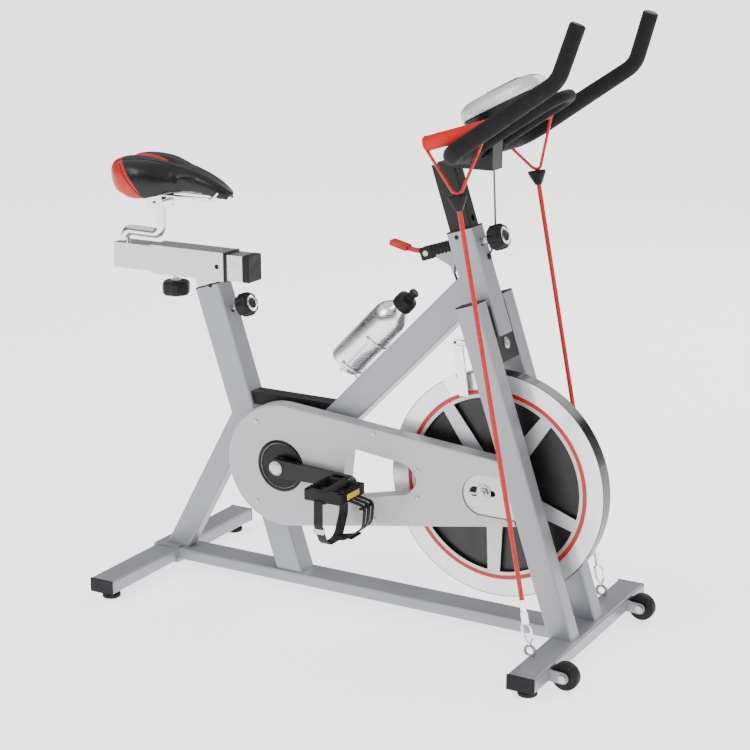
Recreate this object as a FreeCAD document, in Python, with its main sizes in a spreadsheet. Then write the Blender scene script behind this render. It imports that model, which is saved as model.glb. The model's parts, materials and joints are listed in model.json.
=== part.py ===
# Indoor spin bike: welded steel frame, chain-driven flywheel, adjustable saddle and handlebar.
# X points forward (the rider faces +X), Y to the rider's left, Z up; the feet stand on Z = 0.
# Lengths in millimetres, angles in degrees.
import FreeCAD, Part
import math
import os
import Sketcher

V = FreeCAD.Vector
Y_AXIS = V(0, 1, 0)

doc = FreeCAD.newDocument("spin_bike")
sheet = doc.addObject("Spreadsheet::Sheet", "dims")

DRIVING = {
    # stabilisers, base tube and feet
    "wheelbase": 955, "front_span": 540, "rear_span": 526, "stab_depth": 56, "stab_height": 29,
    "foot_height": 18, "foot_radius": 19, "foot_inset": 34, "base_width": 64, "base_height": 25,
    "tube_wall": 2, "cap_lip": 4, "sleeve_wall": 3, "sleeve_width": 72, "corner": 4,
    # seat tube, strut and main tube
    "seat_lean": 18.13, "seat_foot": 169, "seat_tube_run": 617, "frame_depth": 60,
    "frame_width": 50, "strut_lean": 28.8, "strut_depth": 51, "strut_width": 32, "main_rise": 45.7,
    "main_above_wheel": 146,
    # head tube and fork
    "head_lean": 18.43, "leg_setback": 7.5, "head_depth": 56, "head_run": 211, "leg_depth": 48,
    "leg_width": 40, "leg_gap": 76,
    # drive
    "crank_back": 157, "crank_height": 244, "crank_length": 170, "crank_angle": 1.3,
    "crank_thick": 13, "crank_plane": 83, "spindle_radius": 8.5, "shell_radius": 21,
    "shell_length": 58, "chain_pitch": 12.7, "ring_teeth": 50, "cog_teeth": 18, "chain_plane": 48,
    "wheel_behind": 82.7, "wheel_gap": 36, "wheel_radius": 226, "wheel_width": 32,
    "pocket_depth": 10, "axle_radius": 6, "hub_radius": 22, "bearing_radius": 14,
    "plate_plane": 60, "plate_thick": 6, "pedal_width": 92, "pedal_depth": 86,
    # chain guard
    "guard_clear": 18, "guard_face": 70, "guard_inner": 31, "guard_wall": 3, "guard_gap": 6,
    "guard_hole": 47, "guard_edge": 5, "recess_radius": 41,
    # seat assembly
    "seat_post_depth": 52, "seat_post_width": 42, "slider_width": 47.4, "slider_height": 53.4,
    "slide_gap": 0.3, "sleeve_length": 183, "slider_tail": 97, "slider_length": 338,
    "stem_radius": 11, "stem_offset": 96, "stem_rise": 92, "saddle_length": 260, "saddle_width": 176,
    "saddle_height": 74,
    # handlebar
    "bar_post_depth": 48, "bar_post_width": 34, "bar_ahead": 43.6, "bar_rise": 158.8,
    "bar_half": 172, "bar_radius": 16.5, "inner_radius": 11,
    # knobs, transport wheels, bands and bottle
    "knob_radius": 25, "knob_length": 32, "pin_pitch": 25, "roller_radius": 27, "roller_width": 24,
    "roller_ahead": 27.5, "roller_side": 190, "roller_drop": 16, "band_side": 172, "band_radius": 4.5,
    "strap_radius": 3, "bottle_radius": 36, "bottle_length": 178,
    "running_gap": 0.05,
}
for row, (alias, value) in enumerate(DRIVING.items(), 1):
    sheet.set(f"A{row}", alias)
    sheet.set(f"B{row}", str(value))
    sheet.setAlias(f"B{row}", alias)
doc.recompute()


class Sizes:
    """Reads a driving dimension back from the sheet as a plain number."""

    def __getattr__(self, alias):
        return float(sheet.get(alias))


dim = Sizes()
DECK = dim.foot_height + dim.stab_height      # top of both stabilisers
rear_x = -dim.wheelbase / 2
front_x = dim.wheelbase / 2
lean_slope = math.tan(math.radians(dim.head_lean))
head_foot = front_x - dim.leg_setback         # where the fork axis meets the deck
wheel_height = dim.wheel_radius + dim.wheel_gap
crown_low = (wheel_height + dim.wheel_radius + 20) / math.cos(math.radians(dim.head_lean))
head_low = crown_low + 49                     # runs up the fork axis
head_top = head_low + dim.head_run
leg_run = crown_low + 122
axle_x = head_foot - wheel_height * lean_slope - dim.wheel_behind
ring_radius = dim.ring_teeth * dim.chain_pitch / (2 * math.pi)
cog_radius = dim.cog_teeth * dim.chain_pitch / (2 * math.pi)
guard_radius = ring_radius + 9 + dim.guard_clear
seat_back = -dim.seat_foot - (dim.seat_tube_run + 3) * math.sin(math.radians(dim.seat_lean))
SLEEVE_BEHIND = 138                           # back of the sleeve behind the post axis
slider_back = seat_back - SLEEVE_BEHIND - dim.slider_tail
CENTRE_X = (front_x + dim.stab_depth / 2 + dim.roller_ahead + dim.roller_radius + slider_back) / 2
nodes = []


# ---------------------------------------------------------------- helpers
def keep(obj, label):
    """Registers a finished sub-part under its node name, with the bike centred on the origin."""
    obj.Label = label
    obj.Placement = FreeCAD.Placement(V(-CENTRE_X, 0, 0), FreeCAD.Rotation()).multiply(obj.Placement)
    nodes.append(obj)
    return obj


def point(x, y, height):
    """A point given by its height above the stabiliser tops."""
    return V(x, y, height + DECK)


def leaning(base, lean):
    """A frame whose local Z leans back by the given angle; local X points forward and up."""
    return FreeCAD.Placement(base, FreeCAD.Rotation(Y_AXIS, -lean))


def axis_from(start, direction):
    """A frame whose local Z points along a direction."""
    return FreeCAD.Placement(start, FreeCAD.Rotation(V(0, 0, 1), direction))


def bind(obj, sizes):
    """Binds properties to sheet expressions and computes the object."""
    for prop, text in sizes.items():
        obj.setExpression(prop, text)
    obj.recompute()
    return obj


def block(name, length, width, height, frame, centred=(True, True, False), corner=None):
    """A box with its sizes bound to the sheet, placed in a frame; corner rounds its upright edges."""
    box = doc.addObject("Part::Box", name)
    bind(box, {"Length": length, "Width": width, "Height": height})
    sizes = (box.Length.Value, box.Width.Value, box.Height.Value)
    shift = V(*[-size / 2 if flag else 0 for size, flag in zip(sizes, centred)])
    box.Placement = frame.multiply(FreeCAD.Placement(shift, FreeCAD.Rotation()))
    if corner is None:
        return box
    rounded = doc.addObject("Part::Fillet", name + "_rounded")
    rounded.Base = box
    rounded.Edges = [(edge, corner, corner) for edge in (1, 3, 5, 7)]
    rounded.recompute()
    return rounded


def cylinder(name, radius, height, frame, centred=False):
    """A cylinder bound to the sheet, along the frame's Z."""
    rod = doc.addObject("Part::Cylinder", name)
    bind(rod, {"Radius": radius, "Height": height})
    shift = V(0, 0, -rod.Height.Value / 2 if centred else 0)
    rod.Placement = frame.multiply(FreeCAD.Placement(shift, FreeCAD.Rotation()))
    return rod


def cut(name, base, *tools):
    """Cuts the tools from the base one after another."""
    for count, tool in enumerate(tools):
        step = doc.addObject("Part::Cut", f"{name}_cut{count}")
        step.Base = base
        step.Tool = tool
        step.recompute()
        base = step
    return base


def fuse(name, *pieces):
    """Joins pieces that are one part."""
    joined = doc.addObject("Part::MultiFuse", name)
    joined.Shapes = list(pieces)
    joined.recompute()
    return joined


def shaped(name, shape, frame=None):
    """A part whose shape is set directly; its Placement is set after the shape."""
    feature = doc.addObject("Part::Feature", name)
    feature.Shape = shape
    if frame is not None:
        feature.Placement = frame
    return feature


def hollow(name, depth, width, length, frame, corner=None):
    """A rectangular tube along the frame's Z, open at both ends."""
    corner = dim.corner if corner is None else corner
    outer = block(name + "_outer", depth, width, length, frame, corner=corner)
    inner = block(name + "_bore", f"{depth} - 2 * dims.tube_wall", f"{width} - 2 * dims.tube_wall",
                  length, frame, corner=corner - dim.tube_wall)
    return cut(name, outer, inner)


def rounded_path(points, bend):
    """Straight runs joined by tangent arcs; bend is one radius or one per inner point."""
    bends = bend if isinstance(bend, (list, tuple)) else [bend] * (len(points) - 2)
    edges = []
    start = points[0]
    for before, corner_point, after, radius in zip(points, points[1:], points[2:], bends):
        arriving = (corner_point - before).normalize()
        leaving = (after - corner_point).normalize()
        turn = arriving.getAngle(leaving)
        reach = radius * math.tan(turn / 2)
        first = corner_point - arriving * reach
        last = corner_point + leaving * reach
        centre_way = (leaving - arriving).normalize()
        centre = corner_point + centre_way * (radius / math.cos(turn / 2))
        middle = centre - centre_way * radius
        edges.append(Part.LineSegment(start, first).toShape())
        edges.append(Part.Arc(first, middle, last).toShape())
        start = last
    edges.append(Part.LineSegment(start, points[-1]).toShape())
    return Part.Wire(edges)


def rod_shape(points, bend, radius):
    """A round rod swept along a bent path."""
    wire = rounded_path(points, bend) if len(points) > 2 else Part.makePolygon(points)
    ring = Part.Wire(Part.makeCircle(radius, points[0], points[1] - points[0]))
    return wire.makePipeShell([ring], True, True)


def ribbon_shape(points, bend, width, thick):
    """A flat strip across Y, swept along a bent path in the XZ plane."""
    wire = rounded_path(points, bend)
    along = (points[1] - points[0]).normalize()
    side = V(0, width / 2, 0)
    up = along.cross(V(0, 1, 0)) * (thick / 2)
    corners = [points[0] + side + up, points[0] - side + up, points[0] - side - up,
               points[0] + side - up]
    return wire.makePipeShell([Part.makePolygon(corners + corners[:1])], True, True)


def rounded_outline(corners, radii):
    """A closed sketch outline through corner points, each rounded by its own radius."""
    outline = []
    joints = []
    for before, here, after, radius in zip(corners[-1:] + corners, corners, corners[1:] + corners[:1], radii):
        arriving = (here - before).normalize()
        leaving = (after - here).normalize()
        turn = arriving.getAngle(leaving)
        reach = radius * math.tan(turn / 2)
        centre_way = (leaving - arriving).normalize()
        middle = here + centre_way * (radius / math.cos(turn / 2) - radius)
        joints.append((here - arriving * reach, middle, here + leaving * reach))
    for (first, middle, last), following in zip(joints, joints[1:] + joints[:1]):
        outline.append(Part.Arc(first, middle, last))
        outline.append(Part.LineSegment(last, following[0]))
    return outline


def tangent_outline(near, near_radius, far, far_radius):
    """Edges round two circles and their outer tangents, in sketch coordinates."""
    way = far - near
    distance = way.Length
    heading = math.atan2(way.y, way.x)
    spread = math.acos((near_radius - far_radius) / distance)

    def on(centre, radius, angle):
        return centre + V(math.cos(angle), math.sin(angle), 0) * radius

    top_near, top_far = on(near, near_radius, heading + spread), on(far, far_radius, heading + spread)
    low_near, low_far = on(near, near_radius, heading - spread), on(far, far_radius, heading - spread)
    return [Part.LineSegment(top_near, top_far),
            Part.Arc(top_far, on(far, far_radius, heading), low_far),
            Part.LineSegment(low_far, low_near),
            Part.Arc(low_near, on(near, near_radius, heading + math.pi), top_near)]


def ring_edges(centre, radius):
    return [Part.Circle(centre, V(0, 0, 1), radius)]


def origin_plane(body, role):
    return next(item for item in body.Origin.OriginFeatures if item.Role == role)


def side_sketch(body, name, outlines, y):
    """A sketch in a plane across Y; its x is X and its y is Z."""
    sketch = body.newObject("Sketcher::SketchObject", name)
    sketch.AttachmentSupport = [(origin_plane(body, "XZ_Plane"), "")]
    sketch.MapMode = "FlatFace"
    sketch.AttachmentOffset = FreeCAD.Placement(V(0, 0, -y), FreeCAD.Rotation())
    for outline in outlines:
        sketch.addGeometry(list(outline), False)
    return sketch


def plate(name, outlines, y, thick):
    """A flat plate across Y from y to y + thick, padded from a sketch (thick is an expression)."""
    body = doc.addObject("PartDesign::Body", name)
    sketch = side_sketch(body, name + "_outline", outlines, y)
    pad = body.newObject("PartDesign::Pad", name + "_pad")
    pad.Profile = sketch
    pad.Reversed = True
    bind(pad, {"Length": thick})
    doc.recompute()
    return body


def turned(name, profile, frame):
    """A body of revolution about the frame's Z; the profile is a list of (radius, height)."""
    body = doc.addObject("PartDesign::Body", name)
    closed = [V(r, z, 0) for r, z in profile]
    lines = [Part.LineSegment(a, b) for a, b in zip(closed, closed[1:] + closed[:1])]
    sketch = side_sketch(body, name + "_profile", [lines], 0)
    spin = body.newObject("PartDesign::Revolution", name + "_turn")
    spin.Profile = sketch
    spin.ReferenceAxis = (sketch, ["V_Axis"])
    spin.Angle = 360
    body.Placement = frame
    doc.recompute()
    return body


def along_y(x, y, z):
    """A frame at a point whose Z is the +Y axis."""
    return axis_from(V(x, y, z), Y_AXIS)


def flat(x, z):
    """Sketch coordinates of a point in a plane across Y."""
    return V(x, z, 0)


# ---------------------------------------------------------------- stabilisers, base tube and feet
def cross_frame(x, span):
    """Local Z runs along +Y from the right end of a stabiliser; local X is world X."""
    turn = FreeCAD.Rotation(V(1, 0, 0), V(0, 0, -1), V(0, 1, 0), "ZYX")
    return FreeCAD.Placement(V(x, -span / 2 + dim.cap_lip, dim.foot_height + dim.stab_height / 2), turn)


def stabilizer(name, x, span_name):
    span = f"dims.{span_name} - 2 * dims.cap_lip"
    return hollow(name, "dims.stab_depth", "dims.stab_height", span,
                  cross_frame(x, getattr(dim, span_name)))


def end_caps():
    """Plastic plugs in the four stabiliser ends and the two fork leg tops."""
    caps = []
    for x, span in ((rear_x, dim.rear_span), (front_x, dim.front_span)):
        for side in (-1, 1):
            y = side * (span / 2 - dim.cap_lip / 2)
            frame = FreeCAD.Placement(V(x, y, dim.foot_height), FreeCAD.Rotation())
            lip = block("cap_lip_plate", "dims.stab_depth", "dims.cap_lip", "dims.stab_height", frame,
                        corner=1)
            plug_frame = FreeCAD.Placement(V(x, side * (span / 2 - dim.cap_lip - 7.5),
                                             dim.foot_height + dim.tube_wall), FreeCAD.Rotation())
            plug = block("cap_plug", "dims.stab_depth - 2 * dims.tube_wall - 5", "15",
                         "dims.stab_height - 2 * dims.tube_wall", plug_frame)
            caps.append(fuse("stab_cap", lip, plug))
    for side in (-1, 1):
        y = side * (dim.leg_gap + dim.leg_width) / 2
        frame = leaning(V(head_foot, y, DECK), dim.head_lean)
        frame = frame.multiply(FreeCAD.Placement(V(0, 0, leg_run), FreeCAD.Rotation()))
        caps.append(block("leg_cap", "dims.leg_depth", "dims.leg_width", "dims.cap_lip - 1", frame,
                          corner=dim.corner))
    return [cap.Shape for cap in caps]


rear_tube = stabilizer("rear_stab", rear_x, "rear_span")
front_tube = stabilizer("front_stab", front_x, "front_span")
sleeve_height = "dims.stab_height + 2 * dims.sleeve_wall"
sleeve_frame = FreeCAD.Placement(V(rear_x, 0, dim.foot_height - dim.sleeve_wall), FreeCAD.Rotation())
sleeve_solid = block("rear_sleeve", "dims.stab_depth + 2 * dims.sleeve_wall", "dims.sleeve_width",
                     sleeve_height, sleeve_frame)
rear_envelope = block("rear_envelope", "dims.stab_depth", "dims.rear_span", "dims.stab_height",
                      FreeCAD.Placement(V(rear_x, 0, dim.foot_height), FreeCAD.Rotation()))
sleeve = cut("rear_sleeve_ring", sleeve_solid, rear_envelope)
keep(fuse("rear_stabilizer_body", rear_tube, sleeve), "rear_stabilizer")
keep(front_tube, "front_stabilizer")

base_start = rear_x + dim.stab_depth / 2 + dim.sleeve_wall
base_end = front_x - dim.stab_depth / 2
base_frame = FreeCAD.Placement(V(base_start, 0, DECK - dim.base_height / 2),
                               FreeCAD.Rotation(V(0, 0, -1), V(0, 1, 0), V(1, 0, 0), "ZYX"))
base = hollow("base", "dims.base_height", "dims.base_width",
              "dims.wheelbase - dims.stab_depth - dims.sleeve_wall", base_frame)
keep(base, "base_tube")


def foot(x, y):
    """A rubber pad on a short steel stud."""
    profile = [(0, 0), (dim.foot_radius - 1.5, 0), (dim.foot_radius, 1.5), (dim.foot_radius, 7),
               (dim.foot_radius - 4, 11), (7, 11), (7, dim.foot_height), (0, dim.foot_height)]
    return turned("foot_pad", profile, FreeCAD.Placement(V(x, y, 0), FreeCAD.Rotation()))


feet = [foot(x, side * (span / 2 - dim.foot_inset)).Shape
        for x, span in ((rear_x, dim.rear_span), (front_x, dim.front_span)) for side in (-1, 1)]
keep(shaped("feet", Part.makeCompound(feet)), "stabilizer_feet")

# ---------------------------------------------------------------- frame tubes
below_deck = block("below_deck", "3 * dims.wheelbase", "2 * dims.front_span", "400",
                   FreeCAD.Placement(V(0, 0, DECK - 400), FreeCAD.Rotation()))

seat_frame = leaning(V(-dim.seat_foot, 0, DECK), dim.seat_lean)
head_frame = leaning(V(head_foot, 0, DECK), dim.head_lean)


def up_axis(frame, run, ahead=0, side=0):
    """World point a run up a leaning tube's axis, and so far ahead of it and to its left."""
    return frame.multVec(V(ahead, side, run))


def leaning_at(frame, run, ahead=0, side=0):
    return FreeCAD.Placement(up_axis(frame, run, ahead, side), frame.Rotation)


def meet(frame, base_x, base_z, rise):
    """Run up a leaning axis where a line of the given rise through a point crosses it."""
    lean = frame.Rotation.multVec(V(0, 0, 1))
    slope = math.tan(math.radians(rise))
    gap = base_z - frame.Base.z + slope * (frame.Base.x - base_x)
    return gap / (lean.z - slope * lean.x)


main_top_height = wheel_height + dim.wheel_radius + dim.main_above_wheel
head_rear = head_foot - main_top_height * lean_slope \
    - dim.head_depth / 2 / math.cos(math.radians(dim.head_lean))
main_z = main_top_height + DECK
top_run = meet(head_frame, head_rear, main_z, dim.main_rise)
low_run = meet(seat_frame, head_rear, main_z, dim.main_rise)
main_low = up_axis(seat_frame, low_run)
main_top = up_axis(head_frame, top_run)
main_turn = FreeCAD.Rotation(Y_AXIS, 90 - dim.main_rise)
main_frame = FreeCAD.Placement(main_low, main_turn)
main_length = (main_top - main_low).Length

seat_start = leaning_at(seat_frame, -25)
seat_solid = block("seat_envelope", "dims.frame_depth", "dims.frame_width", "dims.seat_tube_run + 25",
                   seat_start, corner=dim.corner)
seat_hollow = hollow("seat", "dims.frame_depth", "dims.frame_width", "dims.seat_tube_run + 25",
                     seat_start)
head_solid = block("head_envelope", "dims.head_depth", "dims.frame_width", "dims.head_run",
                   leaning_at(head_frame, head_low), corner=dim.corner)
head_hollow = hollow("head", "dims.head_depth", "dims.frame_width", "dims.head_run",
                     leaning_at(head_frame, head_low))
crank_centre = point(-dim.crank_back, 0, dim.crank_height)
shell_solid = cylinder("shell_envelope", "dims.shell_radius", "dims.shell_length",
                       along_y(crank_centre.x, 0, crank_centre.z), centred=True)

PIN_RUN = dim.seat_tube_run - 60              # height of the seat pin hole up the seat tube
BAR_PIN_RUN = head_top - 33
PIN_RADIUS = 6.3


def pin_hole(frame, run):
    """A round hole through the front wall of a leaning tube, square to it."""
    ahead = frame.Rotation.multVec(V(1, 0, 0))
    hole = doc.addObject("Part::Cylinder", "pin_hole")
    hole.Radius = PIN_RADIUS
    hole.Height = 60
    hole.Placement = axis_from(up_axis(frame, run), ahead)
    hole.recompute()
    return hole


keep(cut("seat_tube_body", seat_hollow, below_deck, pin_hole(seat_frame, PIN_RUN)), "seat_tube")
keep(cut("head_tube_body", head_hollow, pin_hole(head_frame, BAR_PIN_RUN)), "head_tube")

main = doc.addObject("Part::Box", "main_outer")
bind(main, {"Length": "dims.frame_depth", "Width": "dims.frame_width"})
main.Height = main_length
main.Placement = main_frame.multiply(
    FreeCAD.Placement(V(-dim.frame_depth / 2, -dim.frame_width / 2, 0), FreeCAD.Rotation()))
main_rounded = doc.addObject("Part::Fillet", "main_rounded")
main_rounded.Base = main
main_rounded.Edges = [(edge, dim.corner, dim.corner) for edge in (1, 3, 5, 7)]
main_rounded.recompute()
main_bore = doc.addObject("Part::Box", "main_bore")
bind(main_bore, {"Length": "dims.frame_depth - 2 * dims.tube_wall",
                 "Width": "dims.frame_width - 2 * dims.tube_wall"})
main_bore.Height = main_length
main_bore.Placement = main_frame.multiply(
    FreeCAD.Placement(V(dim.tube_wall - dim.frame_depth / 2, dim.tube_wall - dim.frame_width / 2, 0),
                      FreeCAD.Rotation()))
keep(cut("main_tube_body", main_rounded, main_bore, seat_solid, head_solid, shell_solid), "main_tube")

strut_frame = leaning(V(rear_x + 18, 0, DECK), -dim.strut_lean)
strut = hollow("strut", "dims.strut_depth", "dims.strut_width", "dims.seat_tube_run",
               leaning_at(strut_frame, -40))
behind = block("behind_seat_tube", "500", "100", "900", leaning_at(seat_frame, -100, 250))
keep(cut("strut_body", strut, below_deck, sleeve_solid, seat_solid, behind), "rear_strut")

shell_bore = cylinder("shell_bore", "dims.shell_radius - 3", "dims.shell_length",
                      along_y(crank_centre.x, 0, crank_centre.z), centred=True)
keep(cut("shell_body", shell_solid, shell_bore), "bottom_bracket_shell")

# ---------------------------------------------------------------- fork
for side, label in ((-1, "fork_leg_right"), (1, "fork_leg_left")):
    leg_frame = leaning(V(head_foot, side * (dim.leg_gap + dim.leg_width) / 2, DECK), dim.head_lean)
    leg_start = leaning_at(leg_frame, -25)
    leg = hollow("leg", "dims.leg_depth", "dims.leg_width", str(leg_run + 25), leg_start)
    keep(cut("leg_body", leg, below_deck), label)

CROWN_CHEEK = 60                              # height of the cheeks beside the head tube
crown = block("crown", "dims.leg_depth - 6", "dims.leg_gap",
              str(head_low - crown_low + CROWN_CHEEK), leaning_at(head_frame, crown_low))
crown_block = cut("crown_body", crown, head_solid)

axle = point(axle_x, 0, wheel_height)
SLOT_HALF = 18


def recess_outline(inset):
    """A U-shaped opening round the axle, open towards the fork leg."""
    centre = flat(axle.x - 4, axle.z - 5)
    radius = dim.recess_radius - inset
    far = centre + V(120, 0, 0)
    return [Part.Arc(centre + V(0, radius, 0), centre - V(radius, 0, 0), centre - V(0, radius, 0)),
            Part.LineSegment(centre - V(0, radius, 0), far - V(0, radius, 0)),
            Part.LineSegment(far - V(0, radius, 0), far + V(0, radius, 0)),
            Part.LineSegment(far + V(0, radius, 0), centre + V(0, radius, 0))]


def axle_plate(y):
    """A dropout plate behind a fork leg, inside the guard's recess, with a tension slot for the axle."""
    centre = flat(axle.x, axle.z)
    slot = tangent_outline(centre - V(SLOT_HALF, 0, 0), dim.axle_radius + 0.4,
                           centre + V(SLOT_HALF, 0, 0), dim.axle_radius + 0.41)
    raw = plate("axle_plate", [recess_outline(0.8), slot], y, "dims.plate_thick")
    ahead = block("plate_trim", "200", "400", "400",
                  leaning_at(head_frame, wheel_height - 150, 100 - dim.leg_depth / 2))
    return cut("axle_plate_body", raw, ahead)


plates = [axle_plate(-dim.plate_plane - dim.plate_thick), axle_plate(dim.plate_plane)]
keep(shaped("axle_plate_pair", Part.makeCompound([item.Shape for item in plates])), "axle_plates")

# ---------------------------------------------------------------- flywheel
hub_reach = dim.chain_plane + 4
axle_frame = along_y(axle.x, 0, axle.z)
keep(cylinder("axle_rod", "dims.axle_radius", "2 * (dims.plate_plane + dims.plate_thick) + 24",
              axle_frame, centred=True), "flywheel_axle")

BEARING_WIDTH = 9


def flywheel():
    """A cast disc with five raised spokes between pockets on both faces."""
    body = doc.addObject("PartDesign::Body", "flywheel_body")
    disc = side_sketch(body, "flywheel_disc", [ring_edges(V(0, 0, 0), dim.wheel_radius),
                                               ring_edges(V(0, 0, 0), dim.hub_radius)], 0)
    disc.addConstraint(_radius(0, "wheel_radius"))
    disc.addConstraint(_radius(1, "hub_radius"))
    disc.setExpression("Constraints[0]", "dims.wheel_radius")
    disc.setExpression("Constraints[1]", "dims.hub_radius")
    pad = body.newObject("PartDesign::Pad", "flywheel_pad")
    pad.Profile = disc
    pad.Midplane = True
    bind(pad, {"Length": "dims.wheel_width"})
    doc.recompute()
    inner, outer = 56, dim.wheel_radius - 50
    half = math.radians(36)
    edge_in, edge_out = half - math.asin(18 / inner), half - math.asin(13 / outer)

    def polar(radius, angle):
        return V(math.cos(angle), math.sin(angle), 0) * radius

    outline = [Part.Arc(polar(inner, -edge_in), polar(inner, 0), polar(inner, edge_in)),
               Part.LineSegment(polar(inner, edge_in), polar(outer, edge_out)),
               Part.Arc(polar(outer, edge_out), polar(outer, 0), polar(outer, -edge_out)),
               Part.LineSegment(polar(outer, -edge_out), polar(inner, -edge_in))]
    for index, (y, flip) in enumerate(((-dim.wheel_width / 2, False), (dim.wheel_width / 2, True))):
        sketch = side_sketch(body, f"pocket_outline{index}", [outline], y)
        pocket = body.newObject("PartDesign::Pocket", f"pocket{index}")
        pocket.Profile = sketch
        pocket.Reversed = flip
        bind(pocket, {"Length": "dims.pocket_depth"})
        doc.recompute()
        pattern = body.newObject("PartDesign::PolarPattern", f"pockets{index}")
        pattern.Originals = [pocket]
        pattern.Axis = (sketch, ["N_Axis"])
        pattern.Angle = 360
        pattern.Occurrences = 5
        body.Tip = pattern
        doc.recompute()
    body.Placement = FreeCAD.Placement(V(axle.x, 0, axle.z), FreeCAD.Rotation(Y_AXIS, -18))
    return body


def _radius(index, alias):
    """A radius constraint on one circle of a sketch, set to a driving dimension."""
    return Sketcher.Constraint("Radius", index, getattr(dim, alias))


keep(flywheel(), "flywheel")


def toothed(radius, teeth, tooth):
    """Outline of a chain wheel: shallow flat-topped teeth."""
    rim = []
    for step in range(teeth):
        for share, reach in ((0.0, radius), (0.28, radius), (0.44, radius + tooth), (0.84, radius + tooth)):
            angle = 2 * math.pi * (step + share) / teeth
            rim.append(V(math.cos(angle), math.sin(angle), 0) * reach)
    return rim


def closed_lines(points, centre):
    moved = [centre + item for item in points]
    return [Part.LineSegment(a, b) for a, b in zip(moved, moved[1:] + moved[:1])]


bore = dim.bearing_radius + dim.running_gap
hub_profile = [(dim.axle_radius + 2, -hub_reach + BEARING_WIDTH), (bore, -hub_reach + BEARING_WIDTH),
               (bore, -hub_reach), (dim.hub_radius - 3, -hub_reach), (dim.hub_radius - 3, -26),
               (dim.hub_radius, -26), (dim.hub_radius, 26), (dim.hub_radius - 3, 26),
               (dim.hub_radius - 3, hub_reach), (bore, hub_reach), (bore, hub_reach - BEARING_WIDTH),
               (dim.axle_radius + 2, hub_reach - BEARING_WIDTH)]
hub = turned("hub_barrel", hub_profile, axle_frame)
cog_outline = [closed_lines(toothed(cog_radius, int(dim.cog_teeth), 3), flat(axle.x, axle.z)),
               ring_edges(flat(axle.x, axle.z), dim.hub_radius - 3)]
cog = plate("cog", cog_outline, -dim.chain_plane - 1.5, "3")
keep(fuse("hub_with_cog", hub, cog), "flywheel_hub")


def bearing(name, inner, outer, width, y, centre):
    ring = turned(name, [(inner, 0), (outer, 0), (outer, width), (inner, width)],
                  along_y(centre.x, y, centre.z))
    return ring.Shape


spindle_bore = dim.spindle_radius + dim.running_gap
shell_end = dim.shell_length / 2
bearings = [bearing("hub_bearing", dim.axle_radius, dim.bearing_radius, BEARING_WIDTH, y, axle)
            for y in (-hub_reach, hub_reach - BEARING_WIDTH)]
bearings += [bearing("crank_bearing", spindle_bore, dim.shell_radius - 3, 10, y, crank_centre)
             for y in (-shell_end, shell_end - 10)]
keep(shaped("bearing_set", Part.makeCompound(bearings)), "bearings")

# ---------------------------------------------------------------- crank and pedals
spindle_frame = along_y(crank_centre.x, 0, crank_centre.z)
arm_inner = dim.crank_plane - dim.crank_thick / 2
arm_outer = dim.crank_plane + dim.crank_thick / 2
keep(cylinder("spindle", "dims.spindle_radius", "2 * dims.crank_plane - dims.crank_thick", spindle_frame,
              centred=True), "crank_spindle")

ring_outline = [closed_lines(toothed(ring_radius, int(dim.ring_teeth), 3), flat(crank_centre.x, crank_centre.z)),
                ring_edges(flat(crank_centre.x, crank_centre.z), dim.spindle_radius)]
for step in range(5):
    hole_angle = 2 * math.pi * (step + 0.5) / 5
    hole_centre = flat(crank_centre.x, crank_centre.z) \
        + V(math.cos(hole_angle), math.sin(hole_angle), 0) * ring_radius * 0.6
    ring_outline.append(ring_edges(hole_centre, 20))
keep(plate("chainring_plate", ring_outline, -dim.chain_plane - 1.5, "3"), "chainring")

down = math.radians(dim.crank_angle)
pedal_way = V(math.cos(down), 0, -math.sin(down)) * dim.crank_length
PEDAL_GAP = 7
PEDAL_SPINDLE = 6


def crank_arm(side):
    """A tapered arm with its pedal spindle screwed in at the far end."""
    centre = flat(crank_centre.x, crank_centre.z)
    far = centre + V(pedal_way.x, pedal_way.z, 0) * -side
    start = -arm_outer if side < 0 else arm_inner
    arm = plate("crank_arm_plate", [tangent_outline(centre, 19, far, 13)], start, "dims.crank_thick")
    spindle = doc.addObject("Part::Cylinder", "pedal_spindle")
    spindle.Radius = PEDAL_SPINDLE
    spindle.Height = dim.pedal_width + PEDAL_GAP - 8
    spindle.Placement = axis_from(V(far.x, side * arm_outer, far.y), Y_AXIS * side)
    spindle.recompute()
    return shaped("crank_arm_set", Part.makeCompound([arm.Shape, spindle.Shape]))


def pedal(side):
    """A cage-sided platform pedal: a centre barrel, two side rails and end bars."""
    centre = crank_centre + pedal_way * -side
    start = side * (arm_outer + PEDAL_GAP)
    mid = start + side * dim.pedal_width / 2
    barrel = cylinder("pedal_barrel", "15", "dims.pedal_width", along_y(centre.x, mid, centre.z), True)
    frame = FreeCAD.Placement(V(centre.x, mid, centre.z - 11), FreeCAD.Rotation())
    slab = block("pedal_slab", "dims.pedal_depth", "dims.pedal_width", "22", frame, corner=12)
    windows = [block("pedal_window", "19", "dims.pedal_width - 30", "60",
                     FreeCAD.Placement(V(centre.x + way * 27, mid, centre.z - 30), FreeCAD.Rotation()))
               for way in (-1, 1)]
    hole = doc.addObject("Part::Cylinder", "pedal_bore")
    hole.Radius = PEDAL_SPINDLE + dim.running_gap
    hole.Height = dim.pedal_width - 7
    hole.Placement = axis_from(V(centre.x, start, centre.z), Y_AXIS * side)
    hole.recompute()
    return cut("pedal_body", fuse("pedal_solid", barrel, slab), *windows, hole)


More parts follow.
